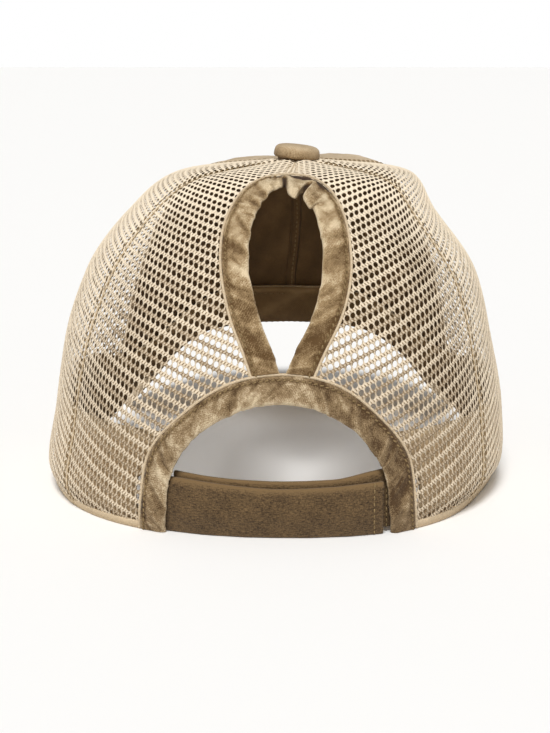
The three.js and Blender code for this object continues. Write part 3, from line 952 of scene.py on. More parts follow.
def add_strip(
    piece: Piece, rings: Array, places: Array | None = None, wear: Array | None = None
) -> None:
    """Adds a closed strip.

    Args:
        piece: The piece that gets it.
        rings: Points, by ring and place in the ring.
        places: The flat pattern's places of the points.
        wear: How rubbed each point is together with its painted light and shade.
    """
    sides, ends = strip_faces(*rings.shape[:2])
    start = piece.count
    piece.add(rings, sides, places, wear)
    piece.faces.append(ends + start)
    piece.looks.append(np.zeros(len(ends)))


def frames(path: Array, out: Array) -> tuple[Array, Array, Array]:
    """Directions along and across a path, square to its outward ones.

    Args:
        path: Points of the path.
        out: Outward directions at the points.

    Returns:
        Unit vectors along, across and out.
    """
    along = unit(np.gradient(path, axis=0))
    across = unit(np.cross(out, along))
    return along, across, unit(np.cross(along, across))


def add_cord(
    piece: Piece, path: Array, out: Array, half_width: float, half_height: float, sides: int = 8
) -> None:
    """Adds a round or flattened cord along a path.

    Args:
        piece: The piece that gets it.
        path: Points of the path.
        out: Outward directions at the points.
        half_width: Half of its width.
        half_height: Half of its height.
        sides: Points round it.
    """
    along, across, up = frames(path, out)
    turn = np.linspace(0, 2 * np.pi, sides, endpoint=False)
    ring = (
        across[:, None] * (half_width * np.cos(turn))[None, :, None]
        + up[:, None] * (half_height * np.sin(turn))[None, :, None]
    )
    run = np.concatenate([[0], np.cumsum(np.linalg.norm(np.diff(path, axis=0), axis=1))])
    places = np.stack(np.broadcast_arrays(run[:, None], (half_width * turn)[None]), axis=-1)
    add_strip(piece, path[:, None] + ring, places)


def resampled(path: Array, extra: Array, step: float) -> tuple[Array, Array]:
    """Even steps along a path.

    Args:
        path: Points of the path.
        extra: Vectors carried with the points.
        step: The wanted distance between points.

    Returns:
        The new points and their vectors.
    """
    run = np.concatenate([[0], np.cumsum(np.linalg.norm(np.diff(path, axis=0), axis=1))])
    places = np.linspace(0, run[-1], max(int(run[-1] / step), 2) + 1)
    columns = [np.interp(places, run, column) for column in np.concatenate([path, extra], axis=1).T]
    table = np.stack(columns, axis=-1)
    return table[:, :3], unit(table[:, 3:])


def add_stitches(
    piece: Piece,
    path: Array,
    out: Array,
    pitch: float = 2.1,
    share: float = 0.74,
    radius: float = 0.27,
    slant: float = 0.0,
) -> None:
    """Adds a row of stitches along a path.

    Args:
        piece: The piece that gets them.
        path: Points of the row.
        out: Outward directions at the points.
        pitch: Distance from stitch to stitch.
        share: Length of a stitch as a share of the pitch.
        radius: Radius of the thread.
        slant: Sideways turn of each stitch, as a share of its length.
    """
    spots, ups = resampled(path, out, pitch)
    along, across, up = frames(spots, ups)
    along = unit(along + across * slant)
    across = unit(np.cross(up, along))
    sections = np.array(
        [[-0.5, 0.35, -0.5], [-0.3, 0.9, 0.1], [0.0, 1.0, 0.3], [0.3, 0.9, 0.1], [0.5, 0.35, -0.5]]
    )
    turn = np.linspace(0, 2 * np.pi, 6, endpoint=False)
    for spot, a, c, u in zip(spots, along, across, up):
        rings = (
            spot
            + a * (sections[:, 0] * pitch * share)[:, None, None]
            + u * (sections[:, 2] * radius)[:, None, None]
            + c * (sections[:, 1:2] * radius * np.cos(turn))[..., None]
            + u * (sections[:, 1:2] * radius * np.sin(turn))[..., None]
        )
        add_strip(piece, rings)


class Side(Enum):
    """A side of the cap, as the sign of its X."""

    LEFT = -1
    RIGHT = 1


@dataclass(frozen=True)
class Edges:
    """The outer and inner edge of a binding, from its left foot to its right one."""

    start: float
    half_width: float
    rise: float
    width: float
    rows: tuple[tuple[float, float, float, float], ...]

    def _whole(self, right: Array) -> Array:
        """Both legs of an edge from its right one.

        Args:
            right: Points of the right leg, from foot to top.

        Returns:
            Points from the left foot over the top to the right foot.
        """
        left = right[:-1] * [-1, 1]
        return np.concatenate([left, right[::-1]])

    def outer(self, at: Array) -> Array:
        """Points of the outer edge.

        Args:
            at: Shares of the way.

        Returns:
            Sideways and upward distances.
        """
        table = np.array(self.rows)
        right = np.stack([self.half_width * table[:, 0], self.start + self.rise * table[:, 1]], axis=-1)
        return spline(self._whole(right), at)

    def inner(self, at: Array) -> Array:
        """Points of the inner edge.

        Args:
            at: Shares of the way.

        Returns:
            Sideways and upward distances.
        """
        table = np.array(self.rows)
        right = np.stack(
            [
                self.half_width * table[:, 0] - self.width * table[:, 2],
                self.start + self.rise * table[:, 1] + self.width * table[:, 3],
            ],
            axis=-1,
        )
        return spline(self._whole(right), at)


ARCH = Edges(
    start=0.0,
    half_width=48.5,
    rise=65.1,
    width=9.4,
    rows=(
        (1, 0, 0.957, 0), (0.975, 0.286, 0.904, -0.33), (0.938, 0.488, 0.862, -0.543),
        (0.856, 0.624, 0.755, -0.691), (0.703, 0.759, 0.67, -0.638), (0.501, 0.891, 0.511, -0.872),
        (0.278, 0.971, 0.372, -0.989), (0, 1, 0, -1.04),
    ),
)
SLOT = Edges(
    start=64.8,
    half_width=22.3,
    rise=73.2,
    width=9.5,
    rows=(
        (0.466, 0, 0.99, 0.126), (0.605, 0.104, 0.968, 0.126), (0.816, 0.238, 1.01, 0.074),
        (0.955, 0.385, 1.02, 0), (1, 0.522, 0.99, 0), (0.955, 0.672, 0.979, 0),
        (0.834, 0.788, 0.947, -0.084), (0.628, 0.893, 0.779, -0.295), (0.341, 0.973, 0.442, -0.579),
        (0, 1, 0, -0.674),
    ),
)


@dataclass(frozen=True)
class FlatPattern:
    """One side of the crown laid flat, from the middle of the back to the front seam.

    Places on it are distances round from the back and up from the rim.
    """

    crown: Crown
    side: Side
    steps_round: int = 96
    steps_up: int = 90
    table: dict[str, Array] = field(default_factory=dict)

    def __post_init__(self) -> None:
        """Measures the crown along its levels and up its side."""
        turns = np.radians(np.linspace(0, self.crown.front_seam, self.steps_round))
        shares = np.linspace(0, self.crown.top_share, self.steps_up)
        spots = self.crown.base(turns[None] * self.side.value, shares[:, None])
        around = np.linalg.norm(np.diff(spots, axis=1), axis=-1)
        start = np.zeros((self.steps_up, 1))
        column = spots[:, self.steps_round // 3]
        rise = np.linalg.norm(np.diff(column, axis=0), axis=-1)
        self.table["turns"] = turns
        self.table["shares"] = shares
        self.table["round"] = np.concatenate([start, np.cumsum(around, axis=1)], axis=1)
        self.table["up"] = np.concatenate([[0], np.cumsum(rise)])

    def _row(self, share: Array) -> tuple[Array, Array]:
        """The table's row for each share, and how far it lies towards the next.

        Args:
            share: Shares of the way up.

        Returns:
            Row numbers and remainders.
        """
        place = np.clip(share / self.table["shares"][-1], 0, 1) * (self.steps_up - 1)
        row = np.clip(np.floor(place).astype(int), 0, self.steps_up - 2)
        return row, place - row

    def flat(self, turn: Array, share: Array) -> Array:
        """Flat places of points of the crown.

        Args:
            turn: Angles from the back, above zero on either side.
            share: Shares of the way up.

        Returns:
            Distances round and up.
        """
        row, rest = self._row(share)
        place = np.clip(turn / self.table["turns"][-1], 0, 1) * (self.steps_round - 1)
        column = np.clip(np.floor(place).astype(int), 0, self.steps_round - 2)
        part = place - column
        lengths = self.table["round"]
        low = lengths[row, column] * (1 - part) + lengths[row, column + 1] * part
        high = lengths[row + 1, column] * (1 - part) + lengths[row + 1, column + 1] * part
        up = np.interp(share, self.table["shares"], self.table["up"])
        return np.stack([low * (1 - rest) + high * rest, up], axis=-1)

    def place(self, flat: Array) -> tuple[Array, Array]:
        """Points of the crown at flat places.

        Args:
            flat: Distances round and up.

        Returns:
            Signed angles in radians, and shares.
        """
        share = np.interp(flat[:, 1], self.table["up"], self.table["shares"])
        row, rest = self._row(share)
        lengths = self.table["round"]
        own = lengths[row] * (1 - rest)[:, None] + lengths[row + 1] * rest[:, None]
        column = np.clip((own < flat[:, :1]).sum(axis=1) - 1, 0, self.steps_round - 2)
        each = np.arange(len(flat))
        low, high = own[each, column], own[each, column + 1]
        part = (flat[:, 0] - low) / np.maximum(high - low, 1e-6)
        turns = self.table["turns"]
        turn = turns[column] + (turns[column + 1] - turns[column]) * part
        return turn * self.side.value, share


class Outline:
    """A closed outline on the flat pattern."""

    def __init__(self, corners: Array) -> None:
        """Keeps the outline's corners.

        Args:
            corners: Places in order.
        """
        self.corners = corners
        self.following = np.roll(corners, -1, axis=0)

    def test(self, spots: Array) -> tuple[Array, Array]:
        """Tells which places lie inside, and the nearest places of the outline.

        Args:
            spots: Places to test.

        Returns:
            True for each place inside, and the nearest place on the outline to each.
        """
        inside, nearest = [], []
        a, b = self.corners[None], self.following[None]
        for block in np.array_split(spots, max(len(spots) // 3000, 1)):
            p = block[:, None]
            span = np.where(b[..., 1] == a[..., 1], 1e-9, b[..., 1] - a[..., 1])
            crosses = (a[..., 1] > p[..., 1]) != (b[..., 1] > p[..., 1])
            at = a[..., 0] + (p[..., 1] - a[..., 1]) / span * (b[..., 0] - a[..., 0])
            inside.append((crosses & (p[..., 0] < at)).sum(axis=1) % 2 == 1)
            edge = b - a
            reach = ((p - a) * edge).sum(axis=-1) / np.maximum((edge**2).sum(axis=-1), 1e-9)
            foot = a + edge * np.clip(reach, 0, 1)[..., None]
            distance = ((foot - p) ** 2).sum(axis=-1)
            best = distance.argmin(axis=1)
            nearest.append(foot[np.arange(len(block)), best])
        return np.concatenate(inside), np.concatenate(nearest)


@dataclass(frozen=True)
class Knit:
    """The net's own sizes: rows of round holes, each row set half a step on."""

    step: float = 2.25
    row: float = 3.25
    hole_along: float = 0.94
    hole_across: float = 1.11
    slant: float = 0.22
    tilt: float = 19.5
    outer: float = -0.05
    thickness: float = 0.22
    sink: float = 0.04
    jitter: float = 0.06
    pairing: float = 0.06

    def centres(self, outline: Outline) -> tuple[Array, Array]:
        """Lattice numbers of the holes round an outline.

        Args:
            outline: The outline on the flat pattern.

        Returns:
            Numbers along the row in half steps, and across the rows in half rows.
        """
        spots = self.turned(outline.corners, -1)
        low, high = spots.min(axis=0), spots.max(axis=0)
        rows = np.arange(math.floor(low[1] / self.row) - 1, math.ceil(high[1] / self.row) + 2)
        steps = np.arange(math.floor(low[0] / self.step) - 2, math.ceil(high[0] / self.step) + 3)
        row, step = np.meshgrid(rows, steps, indexing="ij")
        return (2 * step + row % 2).reshape(-1), (2 * row).reshape(-1)

    def turned(self, spots: Array, way: int) -> Array:
        """Turns places between the rows' directions and the pattern's.

        Args:
            spots: Places to turn.
            way: 1 from the rows to the pattern, -1 back.

        Returns:
            The turned places.
        """
        turn = math.radians(self.tilt) * way
        sine, cosine = math.sin(turn), math.cos(turn)
        return spots @ np.array([[cosine, sine], [-sine, cosine]])


@dataclass
class NetPanel:
    """A net panel with every hole cut."""

    name: str
    pattern: FlatPattern
    knit: Knit
    outline: Outline
    seed: int
    # The next three values paint light and shade onto the net: lighter towards the button, darker low
    # down, lighter on the flanks where light comes through the thin net.
    top_painted_light: float = 3.0
    low_shade: float = 0.74
    side_painted_light: float = 1.1
    side_from: float = 36.0
    side_to: float = 60.0
    smallest_face: float = 1e-3

    def build(self, finishes: Finishes) -> None:
        """Builds the panel.

        Args:
            finishes: The cap's finishes.
        """
        knit = self.knit
        along, across = knit.centres(self.outline)
        ring = np.array([[-1, -1], [0, -1], [1, -1], [1, 0], [1, 1], [0, 1], [-1, 1], [-1, 0]])
        scale = np.array([knit.step, knit.row]) / 2
        keys = np.stack([along, across], axis=-1)[:, None] + ring
        corners, where = np.unique(keys.reshape(-1, 2), axis=0, return_inverse=True)
        where = where.reshape(len(along), len(ring))
        rim_flat = knit.turned(corners * scale, 1)
        inside, nearest = self.outline.test(rim_flat)
        keep = inside[where].any(axis=1)
        along, across, where = along[keep], across[keep], where[keep]
        used, where = np.unique(where, return_inverse=True)
        where = where.reshape(len(along), len(ring))
        rim_flat = np.where(inside[used, None], rim_flat[used], nearest[used])
        rng = np.random.default_rng(self.seed)
        count = len(along)
        middle = np.stack([along, across], axis=-1) * scale + rng.normal(0, knit.jitter, (count, 2))
        middle[:, 1] += np.where(across % 4 == 0, knit.pairing, -knit.pairing)
        size = rng.uniform(0.94, 1.05, count)
        aim = np.arctan2(ring[:, 1] * knit.row * 0.72, ring[:, 0] * knit.step)
        spokes = np.stack([knit.hole_along * np.cos(aim), knit.hole_across * np.sin(aim)], axis=-1)
        slants = knit.slant * np.where(across % 4 == 0, 1.0, 0.35) + rng.normal(0, 0.06, count)
        reach = size[:, None, None] * spokes
        holes = middle[:, None] + reach
        holes[..., 0] += slants[:, None] * reach[..., 1]
        holes = holes.reshape(-1, 2)
        hole_flat = knit.turned(holes, 1)
        hole_in, hole_near = self.outline.test(hole_flat)
        hole_flat = np.where(hole_in[:, None], hole_flat, hole_near)
        flats = np.concatenate([rim_flat, hole_flat])
        ridge = np.concatenate([np.ones(len(rim_flat)), np.zeros(len(hole_flat))])
        turn, share = self.pattern.place(flats)
        crown = self.pattern.crown
        weave = rng.normal(0, 0.03, len(flats))
        outer = crown.point(turn, share, knit.outer - knit.sink * (1 - ridge) + weave)
        inner = crown.point(turn, share, knit.outer - knit.thickness + knit.sink * (1 - ridge))
        total = len(flats)
        hole_at = len(rim_flat) + np.arange(count * len(ring)).reshape(count, len(ring))
        rim_next, hole_next = np.roll(where, -1, axis=1), np.roll(hole_at, -1, axis=1)
        front = np.stack([where, rim_next, hole_next, hole_at], axis=-1).reshape(-1, 4)
        lining = np.stack([hole_at, hole_next, hole_next + total, hole_at + total], axis=-1)
        edges = np.stack([where, rim_next], axis=-1).reshape(-1, 2)
        code = np.sort(edges, axis=1) @ [total, 1]
        _, first, uses = np.unique(code, return_index=True, return_counts=True)
        lone = edges[first[uses == 1]]
        border = np.stack([lone[:, 1], lone[:, 0], lone[:, 0] + total, lone[:, 1] + total], axis=-1)
        faces = np.concatenate([front, front[:, ::-1] + total, lining.reshape(-1, 4), border])
        if self.pattern.side is Side.LEFT:
            faces = faces[:, ::-1]
        spots = np.concatenate([outer, inner])
        faces = faces[self._area(spots, faces) > self.smallest_face]
        places = knit.turned(np.concatenate([flats, flats]), -1)
        aside = smoothstep(self.side_from, self.side_to, np.degrees(np.abs(turn)))
        # Painted light and shade: lighter towards the button and on the flanks, darker low down.
        painted_light = self.top_painted_light * share**4 - self.low_shade + self.side_painted_light * aside
        # The yarns are paler than the holes' edges; the inner faces are painted lighter as light coming
        # through the thin net.
        wear = np.concatenate([ridge * 0.9 - 0.3 + painted_light, ridge * 0.3 + 0.3])
        piece = Piece(f"{self.name}_net")
        piece.add(spots, faces, places, wear)
        piece.finish("net", [finishes.net], [self.name])

    @staticmethod
    def _area(spots: Array, faces: Array) -> Array:
        """Areas of four-sided faces.

        Args:
            spots: Points.
            faces: Rows of four point numbers.

        Returns:
            The areas.
        """
        a, b, c, d = (spots[faces[:, i]] for i in range(4))
        return np.linalg.norm(np.cross(c - a, d - b), axis=-1) / 2


@dataclass
class NetPanels:
    """The two side panels and the two rear ones."""

    crown: Crown
    knit: Knit = Knit()
    tilts: tuple[float, float] = (21.5, 24.0)
    hem: float = 0.03

    def _seam(self, pattern: FlatPattern, degrees: float) -> Array:
        """A seam on the flat pattern, from the rim to the top.

        Args:
            pattern: The flat pattern.
            degrees: The seam's angle.

        Returns:
            Places along the seam.
        """
        shares = np.linspace(0, self.crown.top_share, 60)
        return pattern.flat(np.full(60, math.radians(degrees)), shares)

    def _level(self, pattern: FlatPattern, low: float, high: float, share: float) -> Array:
        """A level on the flat pattern.

        Args:
            pattern: The flat pattern.
            low: The angle that it starts from, in degrees.
            high: The angle that it ends at.
            share: The level's share.

        Returns:
            Places along the level.
        """
        turns = np.radians(np.linspace(low, high, 14))
        return pattern.flat(turns, np.full(14, share))

    def _cut(
        self, pattern: FlatPattern, edge: Callable[[Array], Array], low: float, high: float
    ) -> Array:
        """The outer edge of a binding on the flat pattern.

        Args:
            pattern: The flat pattern.
            edge: The edge's points from shares of its way.
            low: The share where it starts.
            high: The share where it ends.

        Returns:
            Places along the edge.
        """
        spots = edge(np.linspace(low, high, 90))
        share = spots[:, 1] / self.crown.back_seam
        turn = np.abs(self.crown.angle_at_side(np.abs(spots[:, 0]) * pattern.side.value, share))
        return pattern.flat(turn, share)

    def build(self, finishes: Finishes) -> None:
        """Builds the four panels.

        Args:
            finishes: The cap's finishes.
        """
        crown = self.crown
        for number, side in enumerate(Side):
            pattern = FlatPattern(crown, side)
            knit = replace(self.knit, tilt=self.tilts[number])
            word = side.name.lower()
            arch = self._cut(pattern, ARCH.outer, 1.0, 0.5)
            slot = self._cut(pattern, SLOT.outer, 1.0, 0.5)
            meet = arch[:, 0] > slot[0, 0]
            top = self._level(pattern, crown.rear_seam, 0, crown.top_share)
            foot = crown.angle_at_side(np.float64(ARCH.half_width * side.value), np.float64(0))
            bottom = self._level(pattern, abs(math.degrees(foot)), crown.rear_seam, 0)
            rear = np.concatenate([
                bottom,
                self._seam(pattern, crown.rear_seam)[1:],
                top[1:],
                slot[::-1],
                arch[meet][::-1][:-1],
            ])
            NetPanel(f"rear_panel_{word}", pattern, knit, Outline(rear), 11 + number).build(finishes)
            low = self._level(pattern, crown.rear_seam, crown.front_seam, 0)
            high = self._level(pattern, crown.front_seam, crown.rear_seam, crown.top_share)
            flank = np.concatenate([
                low,
                self._seam(pattern, crown.front_seam)[1:],
                high[1:],
                self._seam(pattern, crown.rear_seam)[-2:0:-1],
            ])
            NetPanel(f"side_panel_{word}", pattern, knit, Outline(flank), 21 + number).build(finishes)
            self._hem(finishes, side, abs(float(foot)))

    def _hem(self, finishes: Finishes, side: Side, start: float) -> None:
        """Adds the turned lower edge of one side's net.

        Args:
            finishes: The cap's finishes.
            side: The side.
            start: The angle of the back opening's edge.
        """
        turn = np.linspace(start, math.radians(self.crown.front_seam), 220)[:, None] * side.value
        ring = np.array([
            (0.0, -0.9), (0.0, 0.0), (0.004, 0.18), (0.5, 0.22),
            (0.93, 0.16), (1.0, -0.05), (0.96, -0.9),
        ])
        share, lift = self.hem * ring[:, 0], ring[:, 1]
        turn, share, lift = np.broadcast_arrays(turn, share, lift)
        wave = 0.08 * np.sin(turn * 90) + 0.05 * np.sin(turn * 233)
        rings = self.crown.point(turn, share, lift + wave * (ring[:, 0] > 0.4))
        places = np.stack([turn * RIM_REACH, share * SIDE_HEIGHT], axis=-1)
        piece = Piece(f"net_hem_{side.name.lower()}")
        # Darker at the hem's foot and paler at its top.
        add_strip(piece, rings, places, np.broadcast_to(-0.3 + 0.5 * ring[:, 0], share.shape))
        piece.finish("net", [finishes.welt])


@dataclass
class FrontPanels:
    """The two front panels, with a pressed seam between them."""

    crown: Crown
    rows: int = 70
    columns: int = 46
    tape_width: float = 4.2
    tape_height: float = 0.5
    stitches_off: float = 2.4

    def build(self, finishes: Finishes) -> None:
        """Builds the panels, the seam inside and the stitches beside it.

        Args:
            finishes: The cap's finishes.
        """
        crown = self.crown
        shares = crown.top_share * np.linspace(0, 1, self.rows) ** 1.1
        for side in Side:
            turns = np.radians(np.linspace(crown.front_seam, 180, self.columns)) * side.value
            turn, share = np.meshgrid(turns, shares)
            crease = self._creases(np.degrees(turn), share)
            outer = crown.point(turn, share, crease)
            inner = crown.point(turn, share, crease - crown.wall)
            faces, look = shell_faces(self.rows, self.columns)
            if side is Side.LEFT:
                faces = faces[:, ::-1]
            places = np.stack([turn * FRONT_REACH, share * crown.back_seam], axis=-1)
            wear = np.stack([crease, crease]) * 2.0
            node = f"front_panel_{side.name.lower()}"
            piece = Piece(f"{node}_cloth")
            piece.add(np.stack([outer, inner]), faces, np.stack([places, places]), wear, look)
            piece.finish("front_cloth", [finishes.front, finishes.inside], [node])
        self._seam_inside(finishes)

    def _creases(self, degrees: Array, share: Array) -> Array:
        """Soft handling creases of the cloth.

        Args:
            degrees: Angles in degrees.
            share: Shares of the way up.

        Returns:
            Distances off the form.
        """
        slow = np.sin(degrees * 0.31 + share * 9) * np.sin(share * 17 + degrees * 0.12)
        fine = np.sin(degrees * 0.9 - share * 31 + 1.3) * np.sin(share * 43 + degrees * 0.35)
        fade = smoothstep(0.0, 0.1, share) * (1 - smoothstep(0.85, 0.98, share))
        return (slow * 0.22 + fine * 0.08 - 0.1) * fade

    def _seam_inside(self, finishes: Finishes) -> None:
        """Builds the pressed seam allowance and its stitches.

        Args:
            finishes: The cap's finishes.
        """
        crown = self.crown
        shares = np.linspace(0.02, 0.95, 90)
        radius = np.maximum(crown.radius(np.full_like(shares, np.pi), shares), SMALLEST_RADIUS)
        base = -crown.wall - 0.28
        rings = []
        for reach, lift in ((-0.2, 0), (-0.2, -1), (-0.8, -1), (-1, 0)):
            turn = np.pi + reach * self.tape_width / radius
            rings.append(crown.point(turn, shares, base + lift * self.tape_height))
        tape = Piece("front_seam_inside")
        add_strip(tape, np.stack(rings, axis=1))
        tape.finish("front_cloth", [finishes.inside])
        stitches = Piece("front_seam_stitches")
        turn = np.pi - self.stitches_off / radius
        row = crown.point(turn, shares, base - self.tape_height - 0.05)
        add_stitches(stitches, row, -crown.outward(turn, shares), pitch=2.4)
        stitches.finish("front_cloth", [finishes.thread])


class Slit(NamedTuple):
    """A deep fold between two puckers."""

    at: float
    wide: float
    depth: float
    lean: float
    reach: float


class Pucker(NamedTuple):
    """A gather of the slot's binding, in the source's own columns."""

    at: float
    wide: float
    pull: float
    lift: float


@dataclass
class Binding:
    """A folded binding with creases, a row of stitches and the net's turned edge beside it."""

    name: str
    crown: Crown
    edges: Edges
    seed: int
    puckers: tuple[Pucker, ...] = ()
    slits: tuple[Slit, ...] = ()
    thickness: float = 2.3
    proud: float = 0.9
    gather_depth: float = 3.4
    stations: int = 520
    puffs: int = 26
    creases: int = 46
    crease_height: float = 0.62
    welt_width: float = 1.0
    sweep: float = 0.07
    # fade paints light from above: the binding is lighter at its top and darker towards its feet. drift
    # darkens the end at the right foot.
    fade: float = 0.0
    drift: float = 0.0
    # The strength of the painted shadow in the open gap beside the net.
    gap_shade: float = 0.0
    slit_notch: float = 2.4
    slit_sink: float = 1.1
    slit_shade: float = 2.6
    gap_sink: float = 0.7
    gap_middle: float = 0.54
    gap_reach: float = 0.085
    stitch_line: float = 0.85
    stitch_pitch: float = 2.1
    stitch_radius: float = 0.32

    def _ring(self) -> Array:
        """Shape the section from the inner edge over the front to the back.

        Returns:
            Its points, with across, lift and front.
        """
        front = np.linspace(0, 1, 15)
        shape = MonotoneCurve(
            [0, 0.04, 0.12, 0.3, 0.62, 0.86, 0.96, 1], [0.0, 0.62, 0.95, 1, 0.86, 0.72, 0.5, 0.1]
        )
        rows = [(across, float(shape(across)), 1.0) for across in front]
        back = [(1.0, -0.8, 0.0), (0.75, -1.0, 0.0), (0.4, -1.0, 0.0), (0.08, -0.95, 0.0)]
        return np.array(rows + back + [(0.0, -0.5, 0.4)])

    def _relief(self, at: Array, across: Array) -> Array:
        """Creases across the binding.

        Args:
            at: Shares of the way along.
            across: Shares of the way across.

        Returns:
            Heights, about -1 to 1.
        """
        rng = np.random.default_rng(self.seed)
        total = np.zeros(np.broadcast(at, across).shape)
        kinds = (
            (self.puffs, 0.006, 0.016, 1.2, self.sweep),
            (self.creases, 0.0022, 0.006, 0.8, 0.7 * self.sweep),
        )
        for count, thin, thick, height, slant in kinds:
            for number in range(count):
                middle = (number + rng.uniform(-0.4, 0.4)) / count
                lean = rng.uniform(0.2, 1.0) * slant * (1 if middle < 0.5 else -1)
                wide = rng.uniform(thin, thick)
                rise = height * (1 if number % 2 else -1) * rng.uniform(0.35, 1.0)
                from_side, spread = rng.uniform(0, 1), rng.uniform(0.25, 0.7)
                reach = np.exp(-(((across - from_side) / spread) ** 2))
                total += rise * reach * np.exp(-(((at - middle - lean * (across - 0.5)) / wide) ** 2))
        return np.tanh(total)

    def _pull(self, at: Array) -> tuple[Array, Array]:
        """How far the puckers draw the inner edge in and lift it.

        Args:
            at: Shares of the way along.

        Returns:
            Distances in and off the face.
        """
        pull, lift = np.zeros_like(at), np.zeros_like(at)
        for pucker in self.puckers:
            weight = np.exp(-(((at - pucker.at) / pucker.wide) ** 4))
            pull += self.gather_depth * pucker.pull * weight
            lift += self.gather_depth * pucker.lift * weight
        return pull, lift

    def _slit_depth(self, at: Array, across: Array) -> Array:
        """How deep the narrow folds between the gathers are.

        Args:
            at: Shares of the way along.
            across: Shares of the way across.

        Returns:
            Depths, 0 to 1.
        """
        depth = np.zeros(np.broadcast(at, across).shape)
        for slit in self.slits:
            fade = 1 - smoothstep(0.6 * slit.reach, slit.reach, across)
            away = (at - slit.at - slit.lean * across) / slit.wide
            depth += slit.depth * fade * np.exp(-(away**2))
        return depth

    def _gap(self, at: Array, across: Array) -> Array:
        """The open fold beside the net over the gathers.

        Args:
            at: Shares of the way along.
            across: Shares of the way across.

        Returns:
            Depths, 0 to 1.
        """
        if not self.gap_shade:
            return np.zeros(np.broadcast(at, across).shape)
        across = across + 0.1 * np.exp(-(((at - 0.535) / 0.05) ** 2))
        fade = smoothstep(0.82, 0.9, across) * (1 - 0.5 * smoothstep(1.0, 1.1, across))
        return fade * np.exp(-(((at - self.gap_middle) / self.gap_reach) ** 4))

    def surface(self, at: Array, across: Array, lift: Array) -> Array:
        """Points between the binding's edges.

        Args:
            at: Shares of the way along.
            across: Shares of the way across, from the inner edge.
            lift: Distances off the crown's face.

        Returns:
            The points.
        """
        pull, raised = self._pull(at)
        near, far = self.edges.inner(at), self.edges.outer(at)
        notch = self.slit_notch * self._slit_depth(at, np.zeros_like(across))
        near = near + unit(near - far) * -notch[..., None]
        near[..., 1] -= pull
        spot = near + (far - near) * across[..., None]
        sunk = self._slit_depth(at, across) * self.slit_sink + self._gap(at, across) * self.gap_sink
        raised = raised * (1 - smoothstep(0.2, 0.8, across))
        return self.crown.back_point(spot[..., 0], spot[..., 1], lift + raised - sunk)

    def build(self, slot: str, material: bpy.types.Material, finishes: Finishes) -> None:
        """Builds the binding, its stitches and the net's turned edge.

        Args:
            slot: The record's material slot.
            material: The binding's own cloth.
            finishes: The cap's finishes.
        """
        ring = self._ring()
        at = np.linspace(0, 1, self.stations)[:, None]
        across = np.broadcast_to(ring[:, 0], (self.stations, len(ring)))
        full = np.broadcast_to(at, across.shape)
        crease = self._relief(full, across)
        edge_wave = 0.35 * self._relief(full, np.full_like(across, 0.1))
        depth = np.where(ring[:, 1] > 0, self.proud, self.thickness - self.proud)
        lift = ring[:, 1] * depth + crease * self.crease_height * ring[:, 2]
        shift = across + edge_wave * 0.12 * (across < 0.15)
        rings = self.surface(full, shift, lift)
        length = np.linalg.norm(np.diff(self.edges.outer(at[:, 0]), axis=0), axis=1).sum()
        places = np.stack([full * length, across * self.edges.width], axis=-1)
        edge = np.exp(-((across / 0.07) ** 2))
        # A painted shade line runs along the row of stitches.
        stitch_shade = np.exp(-(((across - self.stitch_line) / 0.06) ** 2))
        # Crease ridges and the folded inner edge are paler and the creases darker, partly rubbed cloth
        # and partly painted light and shade; the hidden back face is painted darker as shade.
        wear = ring[:, 2] * (crease * 0.95 + edge - stitch_shade * 1.3) - (1 - ring[:, 2]) * 0.6
        # Painted light from above: lighter at the top of the binding, darker towards its feet.
        wear = wear + self.fade * (np.sin(np.pi * full) - 0.72)
        # Darker towards the right foot.
        wear = wear - self.drift * smoothstep(0.5, 0.75, full)
        # Painted shade in the narrow folds between the gathers.
        wear = 1.15 * np.tanh(wear / 1.15) - self._slit_depth(full, across) * self.slit_shade
        # Painted shadow in the open gap between the net and the gathered binding.
        wear = wear - self.gap_shade * self._gap(full, across)
        piece = Piece(f"{self.name}_cloth")
        add_strip(piece, rings, places, wear)
        piece.finish(slot, [material], [self.name])
        self._stitches(finishes)
        self._welt(finishes)

    def _stitches(self, finishes: Finishes) -> None:
        """Adds the row of stitches, left out over an open fold.

        Args:
            finishes: The cap's finishes.
        """
        piece = Piece(f"{self.name}_stitches")
        runs = ((0.004, 0.462), (0.62, 0.996)) if self.gap_shade else ((0.004, 0.996),)
        for low, high in runs:
            at = np.linspace(low, high, 400)
            across = np.full_like(at, self.stitch_line)
            lift = self.proud * 0.8 + self._relief(at, across) * self.crease_height
            row = self.surface(at, across, lift)
            above = self.surface(at, across, lift + 1.0)
            out = unit(above - row)
            add_stitches(piece, row, out, self.stitch_pitch, radius=self.stitch_radius, slant=0.3)
        piece.finish("binding_cloth", [finishes.thread])

    def _welt(self, finishes: Finishes) -> None:
        """Adds the turned net edge beside the binding.

        Args:
            finishes: The cap's finishes.
        """
        at = np.linspace(0.0, 1.0, 420)
        spot = self.edges.outer(at)
        along = unit(np.gradient(spot, axis=0))
        away = np.stack([-along[:, 1], along[:, 0]], axis=-1)
        spot = spot + away * self.welt_width * 0.42
        keep = spot[:, 1] > max(self.edges.start - 1, 0.4)
        spot = spot[keep]
        lift = np.full(len(spot), 0.1)
        row = self.crown.back_point(spot[:, 0], spot[:, 1], lift)
        above = self.crown.back_point(spot[:, 0], spot[:, 1], lift + 1)
        out = unit(above - row)
        piece = Piece(f"{self.name}_net_edge")
        add_cord(piece, row, out, self.welt_width / 2, 0.45, sides=10)
        piece.finish("net", [finishes.welt])
        stitches = Piece(f"{self.name}_edge_stitches")
        add_stitches(stitches, row + out * 0.42, out, pitch=2.0, radius=0.16)
        stitches.finish("net", [finishes.pale_thread])


class StrapRow(NamedTuple):
    """A station of a strap, in the source's own columns."""

    side: float
    top: float
    behind: float
    under: float


